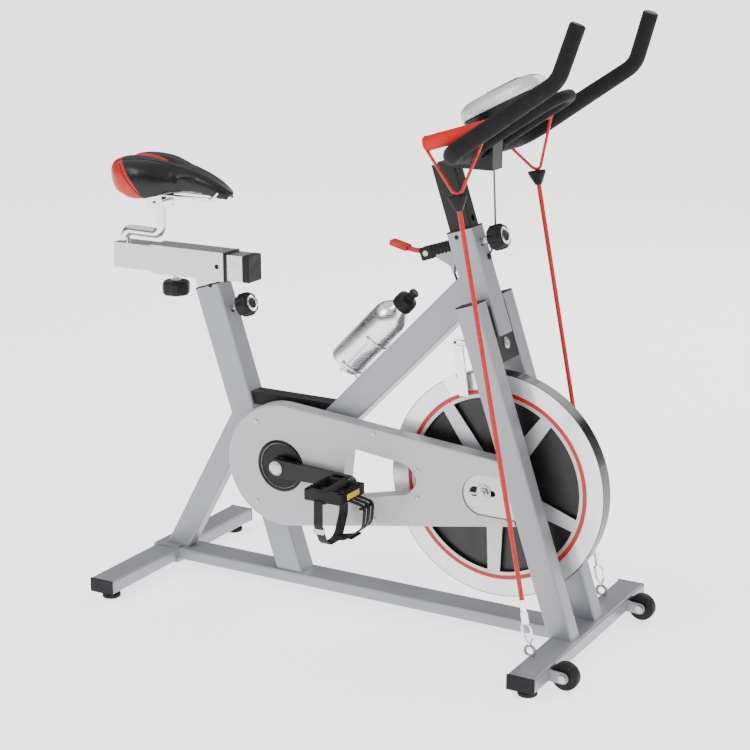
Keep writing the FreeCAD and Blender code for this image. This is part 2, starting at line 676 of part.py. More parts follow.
def toe_cage(side):
    """The toe clip arches from the pedal's front edge, and the strap loops from its sides."""
    centre = crank_centre + pedal_way * -side
    mid = side * (arm_outer + PEDAL_GAP + dim.pedal_width / 2)
    clip = [V(centre.x + x, mid, centre.z + z)
            for x, z in ((dim.pedal_depth / 2 + 1.6, -6), (78, -14), (74, -58), (36, -88), (-6, -98))]
    arch = ribbon_shape(clip, [12, 22, 22], 46, 3)
    reach = dim.pedal_width / 2 + 1.8
    strap = [V(centre.x - 8, mid + y, centre.z + z) for y, z in
             ((-reach, -8), (-reach - 1, -60), (-reach + 22, -106), (reach - 22, -106), (reach + 1, -60),
              (reach, -8))]
    wire = rounded_path(strap, [30, 26, 26, 30])
    first, second = strap[0], strap[1]
    across = V(11, 0, 0)
    out = (second - first).normalize().cross(V(1, 0, 0)) * 1.3
    corners = [first + across + out, first - across + out, first - across - out, first + across - out]
    loop = wire.makePipeShell([Part.makePolygon(corners + corners[:1])], True, True)
    return shaped("toe_cage_set", arch.fuse(loop))


for side, word in ((-1, "right"), (1, "left")):
    keep(crank_arm(side), f"crank_arm_{word}")
    keep(pedal(side), f"pedal_{word}")
    keep(toe_cage(side), f"toe_cage_{word}")


def chain_loop():
    """The roller chain as one closed band round both chain wheels."""
    near, far = flat(crank_centre.x, crank_centre.z), flat(axle.x, axle.z)
    outer = tangent_outline(near, ring_radius + 8, far, cog_radius + 8)
    inner = tangent_outline(near, ring_radius + 3.4, far, cog_radius + 3.4)
    return plate("chain_band", [outer, inner], -dim.chain_plane - 4, "8")


keep(chain_loop(), "drive_chain")

# ---------------------------------------------------------------- chain guard
guard_centre = flat(crank_centre.x, crank_centre.z)
CHAIN_SLOPE = (axle.z - crank_centre.z) / (axle.x - crank_centre.x)
CHAIN_TILT = math.degrees(math.atan(CHAIN_SLOPE))
TOP_FALL = 7.256 - CHAIN_TILT                 # fall of the guard's top edge, 7.256 towards the chain's line
LOW_RISE = 7.544 + CHAIN_TILT                 # rise of its bottom edge


def guard_outline(inset):
    """Round the chainring at the back, tapering to a cut end behind the fork leg."""
    radius = guard_radius - inset
    top, low = math.radians(90 - TOP_FALL), math.radians(LOW_RISE - 90)
    top_start = guard_centre + V(math.cos(top), math.sin(top), 0) * radius
    low_start = guard_centre + V(math.cos(low), math.sin(low), 0) * radius
    base = head_foot + DECK * lean_slope - dim.guard_gap \
        - dim.leg_depth / 2 / math.cos(math.radians(dim.head_lean))

    def front(start, slope):
        rise = math.tan(math.radians(slope))
        x = (base - lean_slope * (start.y - rise * start.x)) / (1 + lean_slope * rise)
        return V(x, start.y + rise * (x - start.x), 0)

    top_end, low_end = front(top_start, -TOP_FALL), front(low_start, LOW_RISE)
    return [Part.LineSegment(top_start, top_end), Part.LineSegment(top_end, low_end),
            Part.LineSegment(low_end, low_start),
            Part.Arc(low_start, guard_centre - V(radius, 0, 0), top_start)]


def window_outline(grow):
    """The see-through window between the chainring and the flywheel hub."""
    rear, front = crank_centre.x + 143, axle.x - 138

    def beside_chain(x, above, out, up):
        """A corner at a height above the line from crank to axle, moved outward by out and up."""
        return flat(x + out, crank_centre.z + (x - crank_centre.x) * CHAIN_SLOPE + above + up)

    corners = [beside_chain(rear, -53.6, -grow, -grow), beside_chain(front - 24, -23.6, grow, -grow),
               beside_chain(front, 7.4, grow, 0), beside_chain(front - 28, 37.5, grow, grow),
               beside_chain(rear + 12, 58.9, -grow, grow)]
    return rounded_outline(corners, [14, 22, 22, 22, 14])


def rolled(name, solid, face):
    """Rounds the edges of the guard's face, except at its cut front end."""
    edges = []
    for number, edge in enumerate(solid.Shape.Edges, 1):
        ends = [vertex.Point for vertex in edge.Vertexes]
        in_face = all(abs(end.y - face) < 0.01 for end in ends)
        if in_face and min(end.x for end in ends) < axle.x - 100:
            edges.append((number, dim.guard_edge, dim.guard_edge))
    fillet = doc.addObject("Part::Fillet", name + "_rolled")
    fillet.Base = solid
    fillet.Edges = edges
    fillet.recompute()
    return fillet


def guard_half(name, face, parting, opening):
    """One dished half: a flat face with a rim that meets the other half at the parting plane."""
    wall = dim.guard_wall
    low, high = min(face, parting), max(face, parting)
    solid = rolled(name, plate(name + "_solid", [guard_outline(0)], low, str(high - low)), face)
    hollow_low = low + wall if face < parting else low
    hollow_out = guard_outline(wall)
    # the cavity runs out through the front end, so that end stays open
    push = V(60, 0, 0)
    top_start, top_end = hollow_out[0].StartPoint, hollow_out[0].EndPoint
    low_end, low_start = hollow_out[2].StartPoint, hollow_out[2].EndPoint
    cavity_edges = [Part.LineSegment(top_start, top_end), Part.LineSegment(top_end, top_end + push),
                    Part.LineSegment(top_end + push, low_end + push),
                    Part.LineSegment(low_end + push, low_end), Part.LineSegment(low_end, low_start),
                    hollow_out[3]]
    cavity = plate(name + "_cavity", [cavity_edges], hollow_low, str(high - low - wall))
    shell = cut(name + "_dish", solid, cavity)
    frame_solid = plate(name + "_window_frame", [window_outline(wall)], low, str(high - low))
    hole = plate(name + "_window", [window_outline(0)], low - 1, str(high - low + 2))
    crank_hole = cylinder(name + "_crank_hole", str(opening), "60", spindle_place(low - 5))
    joined = fuse(name + "_joined", shell, frame_solid)
    return cut(name + "_open", joined, hole, crank_hole)


def spindle_place(y):
    return along_y(crank_centre.x, y, crank_centre.z)


PARTING = -50.5
outer_half = guard_half("guard_outer", -dim.guard_face, PARTING, dim.guard_hole)
recess = plate("guard_recess", [recess_outline(0)], -dim.guard_face - 1, "22")
keep(cut("guard_outer_body", outer_half, recess), "chain_guard_outer")
inner_half = guard_half("guard_inner", -dim.guard_inner, PARTING, dim.shell_radius + 6)
inner_recess = plate("guard_hub_gap", [recess_outline(0)], PARTING - 1, "22")
keep(cut("guard_inner_body", inner_half, inner_recess), "chain_guard_inner")

COVER_TOP = dim.crank_height + 131            # top of the plastic cover between seat tube and main tube
COVER_THICK = 26
COVER_WIDTH = 36
cover_raw = block("cover_raw", "400", str(COVER_WIDTH), str(COVER_THICK),
                  FreeCAD.Placement(point(-dim.crank_back, 0, COVER_TOP - COVER_THICK), FreeCAD.Rotation()))
past_main = block("cover_trim", "400", "100", "1200",
                  main_frame.multiply(FreeCAD.Placement(V(200, 0, -300), FreeCAD.Rotation())))
main_solid = shaped("main_envelope", main_rounded.Shape)
past_seat = block("cover_rear_trim", "400", "100", "900", leaning_at(seat_frame, -50, -200))
keep(cut("cover_body", cover_raw, seat_solid, past_main, main_solid, past_seat), "sweat_cover")

# ---------------------------------------------------------------- fasteners
fasteners = []
ring_x, ring_z = -dim.crank_back, DECK + dim.crank_height
for x, z in ((axle.x - 143, axle.z + 22), (axle.x - 143, axle.z - 34), (ring_x - 58, ring_z + 86),
             (ring_x - 58, ring_z - 86), (axle.x - 240, ring_z + 100), (axle.x - 240, ring_z - 76)):
    head = turned("guard_screw", [(0, -3), (4.6, -2.2), (4.6, 0), (0, 0)],
                  along_y(x, -dim.guard_face, z))
    fasteners.append(head.Shape)
for side in (-1, 1):
    y = side * (dim.plate_plane + dim.plate_thick)
    nut = Part.Face(Part.makePolygon([V(math.cos(a), math.sin(a), 0) * 11
                                      for a in [math.radians(60 * i) for i in range(7)]]))
    nut = nut.extrude(V(0, 0, 8)).cut(Part.makeCylinder(dim.axle_radius, 30, V(0, 0, -5)))
    nut.Placement = axis_from(V(axle.x, y, axle.z), Y_AXIS * side)
    fasteners.append(nut)

# ---------------------------------------------------------------- collars, posts and seat
def collar(name, frame, run, post_depth, post_width, depth, width):
    """A plastic bush in the mouth of a tube, with a lip on its top edge."""
    top = leaning_at(frame, run)
    low = leaning_at(frame, run - 55)
    bush = block(name + "_bush", f"{depth} - 2 * dims.tube_wall", f"{width} - 2 * dims.tube_wall", "55", low,
                 corner=dim.corner - dim.tube_wall)
    lip = block(name + "_lip", depth, width, "3", top, corner=dim.corner)
    mouth = block(name + "_mouth", f"{post_depth} + 2 * dims.slide_gap",
                  f"{post_width} + 2 * dims.slide_gap", "90", leaning_at(frame, run - 70))
    ahead = frame.Rotation.multVec(V(1, 0, 0))
    pin = Part.makeCylinder(PIN_RADIUS, 60)
    pin.Placement = axis_from(up_axis(frame, PIN_RUN if frame is seat_frame else BAR_PIN_RUN), ahead)
    return cut(name, fuse(name + "_solid", bush, lip), mouth, shaped(name + "_pin", pin)).Shape


collars = [collar("seat_collar", seat_frame, dim.seat_tube_run, "dims.seat_post_depth",
                  "dims.seat_post_width", "dims.frame_depth", "dims.frame_width"),
           collar("head_collar", head_frame, head_top, "dims.bar_post_depth", "dims.bar_post_width",
                  "dims.head_depth", "dims.frame_width")]
keep(shaped("plug_set", Part.makeCompound(end_caps() + collars)), "tube_plugs")

PIN_TIP = 7                                   # how far a locking pin reaches into its post


def post_holes(frame, run, depth, first, last):
    """A row of round locking holes in the front wall of a post."""
    ahead = frame.Rotation.multVec(V(1, 0, 0))
    holes = []
    for step in range(first, last + 1):
        place = axis_from(up_axis(frame, run + step * dim.pin_pitch, depth / 2 - PIN_TIP - 1), ahead)
        hole = Part.makeCylinder(PIN_RADIUS, PIN_TIP + 3)
        hole.Placement = place
        holes.append(hole)
    return shaped("post_holes", Part.makeCompound(holes))


sleeve_low_z = up_axis(seat_frame, dim.seat_tube_run + 3, dim.frame_depth / 2).z + 2
seat_post_start = leaning_at(seat_frame, dim.seat_tube_run - 260)
post_raw = hollow("seat_post", "dims.seat_post_depth", "dims.seat_post_width", "320", seat_post_start, 3)
above = block("above_sleeve_floor", "600", "200", "300",
              FreeCAD.Placement(V(-400, 0, sleeve_low_z), FreeCAD.Rotation()))
SLEEVE_WALL = 3
sleeve_mid = seat_back - SLEEVE_BEHIND + dim.sleeve_length / 2
seat_sleeve = block("seat_sleeve", "dims.sleeve_length",
                    f"dims.slider_width + 2 * (dims.slide_gap + {SLEEVE_WALL})",
                    f"dims.slider_height + 2 * (dims.slide_gap + {SLEEVE_WALL})",
                    FreeCAD.Placement(V(sleeve_mid, 0, sleeve_low_z), FreeCAD.Rotation()))
slider_low_z = sleeve_low_z + SLEEVE_WALL + dim.slide_gap
passage = block("seat_passage", "500", "dims.slider_width + 2 * dims.slide_gap",
                "dims.slider_height + 2 * dims.slide_gap",
                FreeCAD.Placement(V(sleeve_mid, 0, sleeve_low_z + SLEEVE_WALL), FreeCAD.Rotation()))
post_cut = cut("seat_post_cut", post_raw, above,
               post_holes(seat_frame, PIN_RUN, dim.seat_post_depth, -6, 0))
seat_post_joined = fuse("seat_post_joined", post_cut, cut("seat_sleeve_tube", seat_sleeve, passage))
slider_knob_x = seat_back - SLEEVE_BEHIND + 45
SCREW_RADIUS = 6
screw_hole = Part.makeCylinder(SCREW_RADIUS + 0.4, 20, V(slider_knob_x, 0, sleeve_low_z - 8))
keep(cut("seat_post_body", seat_post_joined, shaped("screw_hole", screw_hole)), "seat_post")

slider_frame = FreeCAD.Placement(V(slider_back + dim.slider_length / 2, 0, slider_low_z), FreeCAD.Rotation())
slider_outer = block("slider_outer", "dims.slider_length", "dims.slider_width", "dims.slider_height",
                     slider_frame)
slider_bore = block("slider_bore", "dims.slider_length - 8", "dims.slider_width - 6",
                    "dims.slider_height - 6",
                    slider_frame.multiply(FreeCAD.Placement(V(0, 0, 3), FreeCAD.Rotation())))
keep(cut("slider_body", slider_outer, slider_bore), "slider_tube")

slider_top_z = slider_low_z + dim.slider_height
clamp = V(slider_back + 14 + dim.stem_offset, 0, slider_top_z + dim.stem_rise)
stem_points = [V(slider_back + 14, 0, slider_top_z), V(slider_back + 14, 0, slider_top_z + 25),
               V(clamp.x, 0, slider_top_z + 23), clamp]
BARREL_HALF = 22
BOLT_RADIUS = 4
stem = rod_shape(stem_points, [19, 19], dim.stem_radius)
barrel = Part.makeCylinder(14, 2 * BARREL_HALF, clamp - V(0, BARREL_HALF, 0), Y_AXIS)
bolt_half = BARREL_HALF + 12
tilt_bolt = Part.makeCylinder(BOLT_RADIUS, 2 * bolt_half, clamp - V(0, bolt_half, 0), Y_AXIS)
keep(shaped("stem_rod", stem.fuse([barrel, tilt_bolt])), "saddle_stem")

RAIL_RADIUS = 3.5
rail_z = clamp.z + 19


def rails():
    """Two steel rails under the shell, welded to a pair of cheeks that swing on the clamp bolt."""
    pieces = []
    for side in (-1, 1):
        y = side * (BARREL_HALF + 3.3)
        path = [V(clamp.x - 58, y, rail_z + 16), V(clamp.x - 48, y, rail_z),
                V(clamp.x + 140, y * 0.75, rail_z - 2), V(clamp.x + 156, y * 0.72, rail_z + 14)]
        pieces.append(rod_shape(path, [10, 12], RAIL_RADIUS))
        cheek = Part.makeBox(34, 6, 31, V(clamp.x - 17, y - 3, clamp.z - 11))
        hole = Part.makeCylinder(BOLT_RADIUS + dim.running_gap, 20, V(clamp.x, y - 10, clamp.z), Y_AXIS)
        pieces.append(cheek.cut(hole))
    return pieces[0].fuse(pieces[1]).fuse(pieces[2].fuse(pieces[3]))


def saddle():
    """The padded shell: wide wings behind and a long nose in front."""
    low, high = clamp.z + 23, clamp.z + 23 + dim.saddle_height
    half = dim.saddle_width / 2
    back, front = clamp.x - 76, clamp.x - 76 + dim.saddle_length
    stations = [(back, 52, high - 52, high), (back + 26, half - 4, low + 4, high),
                (back + 74, half - 6, low, high - 3), (back + 130, 46, low + 2, high - 14),
                (back + 196, 27, low - 2, high - 24), (front - 12, 20, low - 4, high - 42),
                (front, 10, low + 4, high - 60)]
    sections = []
    for x, reach, floor, roof in stations:
        mid, rise = (floor + roof) / 2, (roof - floor) / 2
        ring = [V(x, reach * math.cos(a), mid + rise * math.sin(a))
                for a in [math.radians(30 * i) for i in range(12)]]
        spline = Part.BSplineCurve()
        spline.interpolate(ring, PeriodicFlag=True)
        sections.append(Part.Wire(spline.toShape()))
    return Part.makeLoft(sections, True, False)


rail_set = rails()
keep(shaped("rail_set", rail_set), "saddle_rails")
keep(shaped("saddle_loft", saddle().cut(rail_set)), "saddle")

# ---------------------------------------------------------------- knobs
def knob_profile(stem_start, stem_radius, head_start, length, radius):
    """A round knob head on a stem, as a profile of (radius, height)."""
    return [(0, stem_start), (stem_radius, stem_start), (stem_radius, head_start), (radius - 5, head_start),
            (radius, head_start + 5), (radius, head_start + length - 5),
            (radius - 5, head_start + length), (0, head_start + length)]


def pop_pin(name, frame, run, depth, post_depth):
    """A spring pin: its tip sits in the post, its knob stands in front of the tube."""
    ahead = frame.Rotation.multVec(V(1, 0, 0))
    tip = post_depth / 2 - PIN_TIP
    profile = knob_profile(tip, PIN_RADIUS - 0.3, depth / 2 + 12, dim.knob_length, dim.knob_radius)
    return turned(name, profile, axis_from(up_axis(frame, run), ahead))


keep(pop_pin("seat_pin", seat_frame, PIN_RUN, dim.frame_depth, dim.seat_post_depth), "seat_knob")
keep(pop_pin("bar_pin", head_frame, BAR_PIN_RUN, dim.head_depth, dim.bar_post_depth), "post_knob")
slider_knob_frame = FreeCAD.Placement(V(slider_knob_x, 0, sleeve_low_z), FreeCAD.Rotation(V(1, 0, 0), 180))
knob = turned("clamp_screw", knob_profile(-SLEEVE_WALL + 0.2, SCREW_RADIUS, 15, 32, dim.knob_radius + 5),
              slider_knob_frame)
keep(knob, "slider_knob")

# ---------------------------------------------------------------- handlebar
bar_post_start = leaning_at(head_frame, head_top - 150)
bar_post = hollow("bar_post", "dims.bar_post_depth", "dims.bar_post_width", "330", bar_post_start, 3)
bar_ref = up_axis(head_frame, head_top) + V(dim.bar_ahead, 0, dim.bar_rise)
post_top_z = bar_ref.z - 40
over_post = block("over_post", "600", "200", "300",
                  FreeCAD.Placement(V(bar_ref.x - 60, 0, post_top_z), FreeCAD.Rotation()))


def from_bar(ahead, y, above):
    """A point given from the centre of the rear cross tube."""
    return bar_ref + V(ahead, y, above)


bar_post_drilled = cut("bar_post_drilled", bar_post, over_post,
                       post_holes(head_frame, BAR_PIN_RUN, dim.bar_post_depth, -4, 2))

half = dim.bar_half
bar_side = [(249, half - 4, 246), (218, half + 5, 148), (0, half, 0)]
bar_points = [from_bar(x, -y, z) for x, y, z in bar_side] + [from_bar(x, y, z) for x, y, z in bar_side[::-1]]
outer_bar = rod_shape(bar_points, [52, 44, 44, 52], dim.bar_radius)
INNER_HALF = 48
inner_side = [(0, INNER_HALF, 0), (158, INNER_HALF - 6, 104)]
inner_points = [from_bar(x, -y, z) for x, y, z in inner_side] + \
    [from_bar(x, y, z) for x, y, z in inner_side[::-1]]
inner_bar = rod_shape(inner_points, [36, 36], dim.inner_radius)
bars = outer_bar.fuse(inner_bar)
keep(shaped("bar_tubes", bars), "handlebar")

clamp_plate = block("clamp_plate", "118", "dims.bar_post_width + 8", "8",
                    FreeCAD.Placement(V(bar_ref.x - 36, 0, post_top_z), FreeCAD.Rotation()), corner=6)
clamp_grip = block("clamp_grip", "46", "dims.bar_post_width + 8", "dims.bar_radius + 46",
                   FreeCAD.Placement(V(bar_ref.x, 0, post_top_z), FreeCAD.Rotation()))
bar_clamp = cut("bar_clamp", fuse("bar_clamp_solid", clamp_plate, clamp_grip), shaped("bar_copy", bars))
keep(fuse("bar_post_body", bar_post_drilled, bar_clamp), "handlebar_post")

CONSOLE_TILT = 27
console_frame = FreeCAD.Placement(from_bar(44, 0, 70), FreeCAD.Rotation(Y_AXIS, -CONSOLE_TILT))
console_base = block("console_base", "176", "104", "14", console_frame, corner=24)
console_top = block("console_top", "168", "96", "16",
                    console_frame.multiply(FreeCAD.Placement(V(0, 0, 14), FreeCAD.Rotation())), corner=22)
console_dome = block("console_dome", "138", "74", "14",
                     console_frame.multiply(FreeCAD.Placement(V(0, 0, 30), FreeCAD.Rotation())), corner=20)
console_feet = [rod_shape([from_bar(x, y, 0.66 * x), console_frame.multVec(V(x - 38, y, 2))], 0, 7)
                for x in (28, 83) for y in (-44, 44)]
console_solid = console_base.Shape.fuse([console_top.Shape, console_dome.Shape] + console_feet).cut(bars)
BUTTON_RADIUS = 9
button_frame = console_frame.multiply(FreeCAD.Placement(V(-50, 0, 0), FreeCAD.Rotation()))
button_hole = Part.makeCylinder(BUTTON_RADIUS + 0.3, 12, V(0, 0, 36))
button_hole.Placement = button_frame
keep(shaped("console_body", console_solid.cut(button_hole)), "console")
button = Part.makeCylinder(BUTTON_RADIUS, 6, V(0, 0, 40))
keep(shaped("button_body", button, button_frame), "console_button")

# ---------------------------------------------------------------- brake
MOUNT_DROP = 25                               # brake mount below the head tube's top
mount_frame = axis_from(up_axis(head_frame, head_top - MOUNT_DROP, -dim.head_depth / 2),
                        head_frame.Rotation.multVec(V(-1, 0, 0)))
mount_barrel = turned("mount_barrel", [(0, 0), (13, 0), (13, 22), (11, 22), (11, 50), (0, 50)], mount_frame)
lever_pivot = mount_frame.multVec(V(0, 0, 62))
fork_slot = block("mount_fork", "26", "24", "26",
                  mount_frame.multiply(FreeCAD.Placement(V(0, 0, 48), FreeCAD.Rotation())), corner=4)
lever_room = block("lever_room", "60", "12.6", "40",
                   mount_frame.multiply(FreeCAD.Placement(V(0, 0, 52), FreeCAD.Rotation())))
GUSSET_HALF = 10


def gusset():
    """A tapered plate that braces the mount from below, with the cable's adjuster on its corner."""
    corners = [V(-6, -GUSSET_HALF, 0), V(-34, -GUSSET_HALF, 0), V(-36, -GUSSET_HALF, 18),
               V(-12, -GUSSET_HALF, 44), V(-6, -GUSSET_HALF, 44)]
    web = Part.Face(Part.makePolygon(corners + corners[:1])).extrude(V(0, 2 * GUSSET_HALF, 0))
    adjuster = Part.makeCylinder(5, ADJUSTER.Length, V(-34, 2, 16), ADJUSTER)
    joined = web.fuse(adjuster)
    joined.Placement = mount_frame
    return joined


CABLE_START = V(-50, 10, 24)                  # in the mount's frame
ADJUSTER = CABLE_START - V(-34, 2, 16)
pin = Part.makeCylinder(3, 24, lever_pivot - V(0, 12, 0), Y_AXIS)
mount_solid = cut("mount_solid", fuse("mount_joined", mount_barrel, fork_slot), lever_room)
keep(shaped("mount_body", mount_solid.Shape.fuse([gusset(), pin])), "brake_lever_mount")

lever_path = [lever_pivot, lever_pivot + V(-36, 0, 3), lever_pivot + V(-72, 0, 12)]
lever_strip = ribbon_shape(lever_path, [60], 12, 7)
lever_eye = Part.makeCylinder(9, 12, lever_pivot - V(0, 6, 0), Y_AXIS)
lever_bore = Part.makeCylinder(3 + dim.running_gap, 12, lever_pivot - V(0, 6, 0), Y_AXIS)
paddle = block("lever_paddle", "40", "26", "9",
               FreeCAD.Placement(lever_pivot + V(-62, 0, 5), FreeCAD.Rotation(Y_AXIS, 14)), corner=5)
lever_shape = lever_strip.fuse([lever_eye, paddle.Shape]).cut(lever_bore)
keep(shaped("lever_body", lever_shape), "brake_lever")

PAD_Y = -dim.wheel_width / 2 - 2.5            # face of the pad that looks at the rim
pad_way = math.radians(112.5)                 # where the pad meets the rim, round the axle
pad_reach = dim.wheel_radius - 17
pad = axle + V(math.cos(pad_way), 0, math.sin(pad_way)) * pad_reach
arm_pivot = pad + V(16, -29, 85)
arm_plate = block("arm_plate", "20", "4", "112",
                  FreeCAD.Placement(pad + V(16, -28, -19), FreeCAD.Rotation(Y_AXIS, -8)), corner=1.5)
felt = block("felt", "34", "10", "38",
             FreeCAD.Placement(pad + V(0, PAD_Y - 5, -19), FreeCAD.Rotation(Y_AXIS, -26)), corner=3)
arm_eye = Part.makeCylinder(6, 30, arm_pivot - V(15, 0, 0), V(1, 0, 0))
arm_bore = Part.makeCylinder(3 + dim.running_gap, 80, arm_pivot - V(40, 0, 0), V(1, 0, 0))
keep(shaped("arm_body", arm_plate.Shape.fuse([felt.Shape, arm_eye]).cut(arm_bore)), "brake_arm")

pivot_rod = Part.makeCylinder(3, 70, arm_pivot - V(22, 0, 0), V(1, 0, 0))
keep(shaped("crown_with_pivot", crown_block.Shape.fuse(pivot_rod)), "fork_crown")

cable_points = [mount_frame.multVec(CABLE_START), mount_frame.multVec(V(-62, 26, 32)),
                mount_frame.multVec(V(-86, 32, 40)), up_axis(head_frame, crown_low + 92, -66, 32),
                up_axis(head_frame, crown_low + 48, -dim.leg_depth / 2 - 1, 31)]
cable = rod_shape(cable_points, [9, 11, 24], 2.5)
keep(shaped("cable_body", cable), "brake_cable")

# ---------------------------------------------------------------- transport rollers and band eyes
axle_z = DECK - dim.roller_drop
roller_x = front_x + dim.stab_depth / 2 + dim.roller_ahead
rollers = {}
tabs = []
pins = []
for side, word in ((-1, "right"), (1, "left")):
    y = side * dim.roller_side
    width = dim.roller_width
    profile = [(4 + dim.running_gap, -width / 2), (10, -width / 2), (10, -width / 2 + 3),
               (dim.roller_radius - 4, -width / 2 + 3), (dim.roller_radius, -width / 2 + 7),
               (dim.roller_radius, width / 2 - 7), (dim.roller_radius - 4, width / 2 - 3),
               (10, width / 2 - 3), (10, width / 2), (4 + dim.running_gap, width / 2)]
    keep(turned("roller_" + word, profile, along_y(roller_x, y, axle_z)), f"wheel_{word}")
    for way in (-1, 1):
        inner = y + way * (width / 2 + 0.6)
        start = inner if way > 0 else inner - 4
        near_edge = flat(front_x + dim.stab_depth / 2, DECK - dim.stab_height / 2)
        outline = [Part.LineSegment(near_edge + V(0, 11, 0), flat(roller_x, axle_z + 11)),
                   Part.Arc(flat(roller_x, axle_z + 11), flat(roller_x + 11, axle_z),
                            flat(roller_x, axle_z - 11)),
                   Part.LineSegment(flat(roller_x, axle_z - 11), near_edge - V(0, 11, 0)),
                   Part.LineSegment(near_edge - V(0, 11, 0), near_edge + V(0, 11, 0))]
        bolt_hole = ring_edges(flat(roller_x, axle_z), 4)
        tabs.append(plate("roller_tab", [outline, bolt_hole], start, "4").Shape)
    bolt = Part.makeCylinder(4, width + 14, V(roller_x, y - width / 2 - 7, axle_z), Y_AXIS)
    for way in (-1, 1):
        end = V(roller_x, y + way * (width / 2 + 4.6), axle_z)
        bolt = bolt.fuse(Part.makeCylinder(7.5, 4, end, Y_AXIS * way))
    pins.append(bolt)
    eye = Part.makeTorus(10, 3, V(front_x - 26, side * dim.band_side, DECK + 9), V(0, 1, 0))
    tabs.append(eye.cut(Part.makeBox(80, 80, 60, V(front_x - 66, side * dim.band_side - 40,
                                                   DECK - 60))))
keep(shaped("tab_set", Part.makeCompound(tabs)), "stabilizer_tabs")
keep(shaped("fastener_set", Part.makeCompound(fasteners + pins)), "frame_fasteners")

# ---------------------------------------------------------------- resistance bands
GRIP_LENGTH = 128
STRAP_BENDS = [12, 12]
hooks = []
cords = []                                    # node, points, bend radii and cord radius
for side, word in ((-1, "right"), (1, "left")):
    anchor = V(front_x - 27, side * dim.band_side, DECK + 17)
    yoke_low = from_bar(31, side * (dim.band_side - 2), -92)
    up = (yoke_low - anchor).normalize()
    clip_low = anchor + up * 3.5
    band_start = anchor + up * 92
    band = Part.makeCylinder(dim.band_radius, (yoke_low - band_start).Length, band_start, up)
    keep(shaped("band_" + word, band), f"band_tube_{word}")
    clip = [clip_low + V(0, 0, 0), clip_low + up * 16 + V(9, 0, 0), clip_low + up * 36 + V(9, 0, 0),
            clip_low + up * 46, clip_low + up * 36 - V(9, 0, 0), clip_low + up * 16 - V(9, 0, 0),
            clip_low + V(0.2, 0, 0)]
    clip_shape = rod_shape(clip, [8, 8, 6, 8, 8], 2.4)
    sleeve_rod = Part.makeCylinder(7, 22, anchor + up * 46, up)
    ferrule = Part.makeCylinder(5.5, 24, anchor + up * 68, up)
    hooks.append(clip_shape.fuse([sleeve_rod, ferrule]))
    grip_way = V(math.cos(math.radians(17)), 0, math.sin(math.radians(17)))
    grip_low = from_bar(-56, side * (dim.bar_half - 34), 19)
    grip_high = grip_low + grip_way * GRIP_LENGTH
    yoke = Part.makeCone(7, 19, 27, yoke_low + up * 1, up)
    grip = Part.makeCylinder(14, GRIP_LENGTH, grip_low, grip_way)
    keep(shaped("handle_" + word, Part.makeCompound([grip, yoke])), f"band_handle_{word}")
    yoke_top = yoke_low + up * 28
    lateral = V(7, 0, 0)
    strap = [grip_low - grip_way * 3.2 + V(0, 0, -2), yoke_top - lateral + V(0, 0, 3.5),
             yoke_top + lateral + V(0, 0, 3.5), grip_high + grip_way * 3.2 + V(0, 0, -2)]
    strap_shape = rod_shape(strap, STRAP_BENDS, dim.strap_radius)
    keep(shaped("strap_" + word, strap_shape), f"band_strap_{word}")
    cords += [(f"band_tube_{word}", [band_start, yoke_low], [], dim.band_radius),
              (f"band_strap_{word}", strap, STRAP_BENDS, dim.strap_radius)]
keep(shaped("hook_set", Part.makeCompound(hooks)), "band_hooks")

# ---------------------------------------------------------------- bottle, cage and sensor wire
bottle_out = V(-math.sin(math.radians(dim.main_rise)), 0, math.cos(math.radians(dim.main_rise)))
BOTTLE_OFFSET = dim.frame_depth / 2 + dim.bottle_radius + 8
BOTTLE_CLEAR = 60.4                           # along the main tube, past the cover's top
cover_run = (COVER_TOP + DECK - main_low.z) / math.sin(math.radians(dim.main_rise))
bottle_base = main_low + (main_top - main_low).normalize() * (cover_run + BOTTLE_CLEAR) \
    + bottle_out * BOTTLE_OFFSET
bottle_profile = [(0, 0), (dim.bottle_radius - 3, 0), (dim.bottle_radius, 3),
                  (dim.bottle_radius, dim.bottle_length - 26), (18, dim.bottle_length),
                  (21, dim.bottle_length), (21, dim.bottle_length + 26), (9, dim.bottle_length + 30),
                  (9, dim.bottle_length + 46), (0, dim.bottle_length + 46)]
bottle_frame = FreeCAD.Placement(bottle_base, main_turn)
keep(turned("bottle_body", bottle_profile, bottle_frame), "bottle")

RAIL = 2.6


def cage():
    """Bent rod cage, open on the side away from the tube: two half hoops, uprights and a floor."""
    radius = dim.bottle_radius + 0.6 + RAIL
    shape = Part.makeBox(5, 16, 150, V(dim.bottle_radius + 3, -8, -7))
    open_side = Part.makeBox(100, 200, 200, V(-100, -100, -50))
    for height in (16, 96):
        shape = shape.fuse(Part.makeTorus(radius, RAIL, V(0, 0, height)).cut(open_side))
    for angle in (-72, 72):
        way = V(math.cos(math.radians(angle)), math.sin(math.radians(angle)), 0)
        shape = shape.fuse(Part.makeCylinder(RAIL - 0.4, 103, way * radius + V(0, 0, -6)))
        shape = shape.fuse(Part.makeCylinder(RAIL - 0.8, radius, V(0, 0, -RAIL - 0.8), way))
    return shape.fuse(Part.makeCylinder(RAIL - 0.8, radius, V(0, 0, -RAIL - 0.8), V(1, 0, 0)))


keep(shaped("cage_body", cage(), bottle_frame), "bottle_cage")

wire_points = [from_bar(10, 12, -42), from_bar(6, 31, -146), from_bar(8, 27, -184),
               up_axis(head_frame, head_top - 62, dim.head_depth / 2, 12)]
WIRE_BENDS = [40, 14]
WIRE_RADIUS = 2
keep(shaped("wire_body", rod_shape(wire_points, WIRE_BENDS, WIRE_RADIUS)), "sensor_wire")
cords.append(("sensor_wire", wire_points, WIRE_BENDS, WIRE_RADIUS))

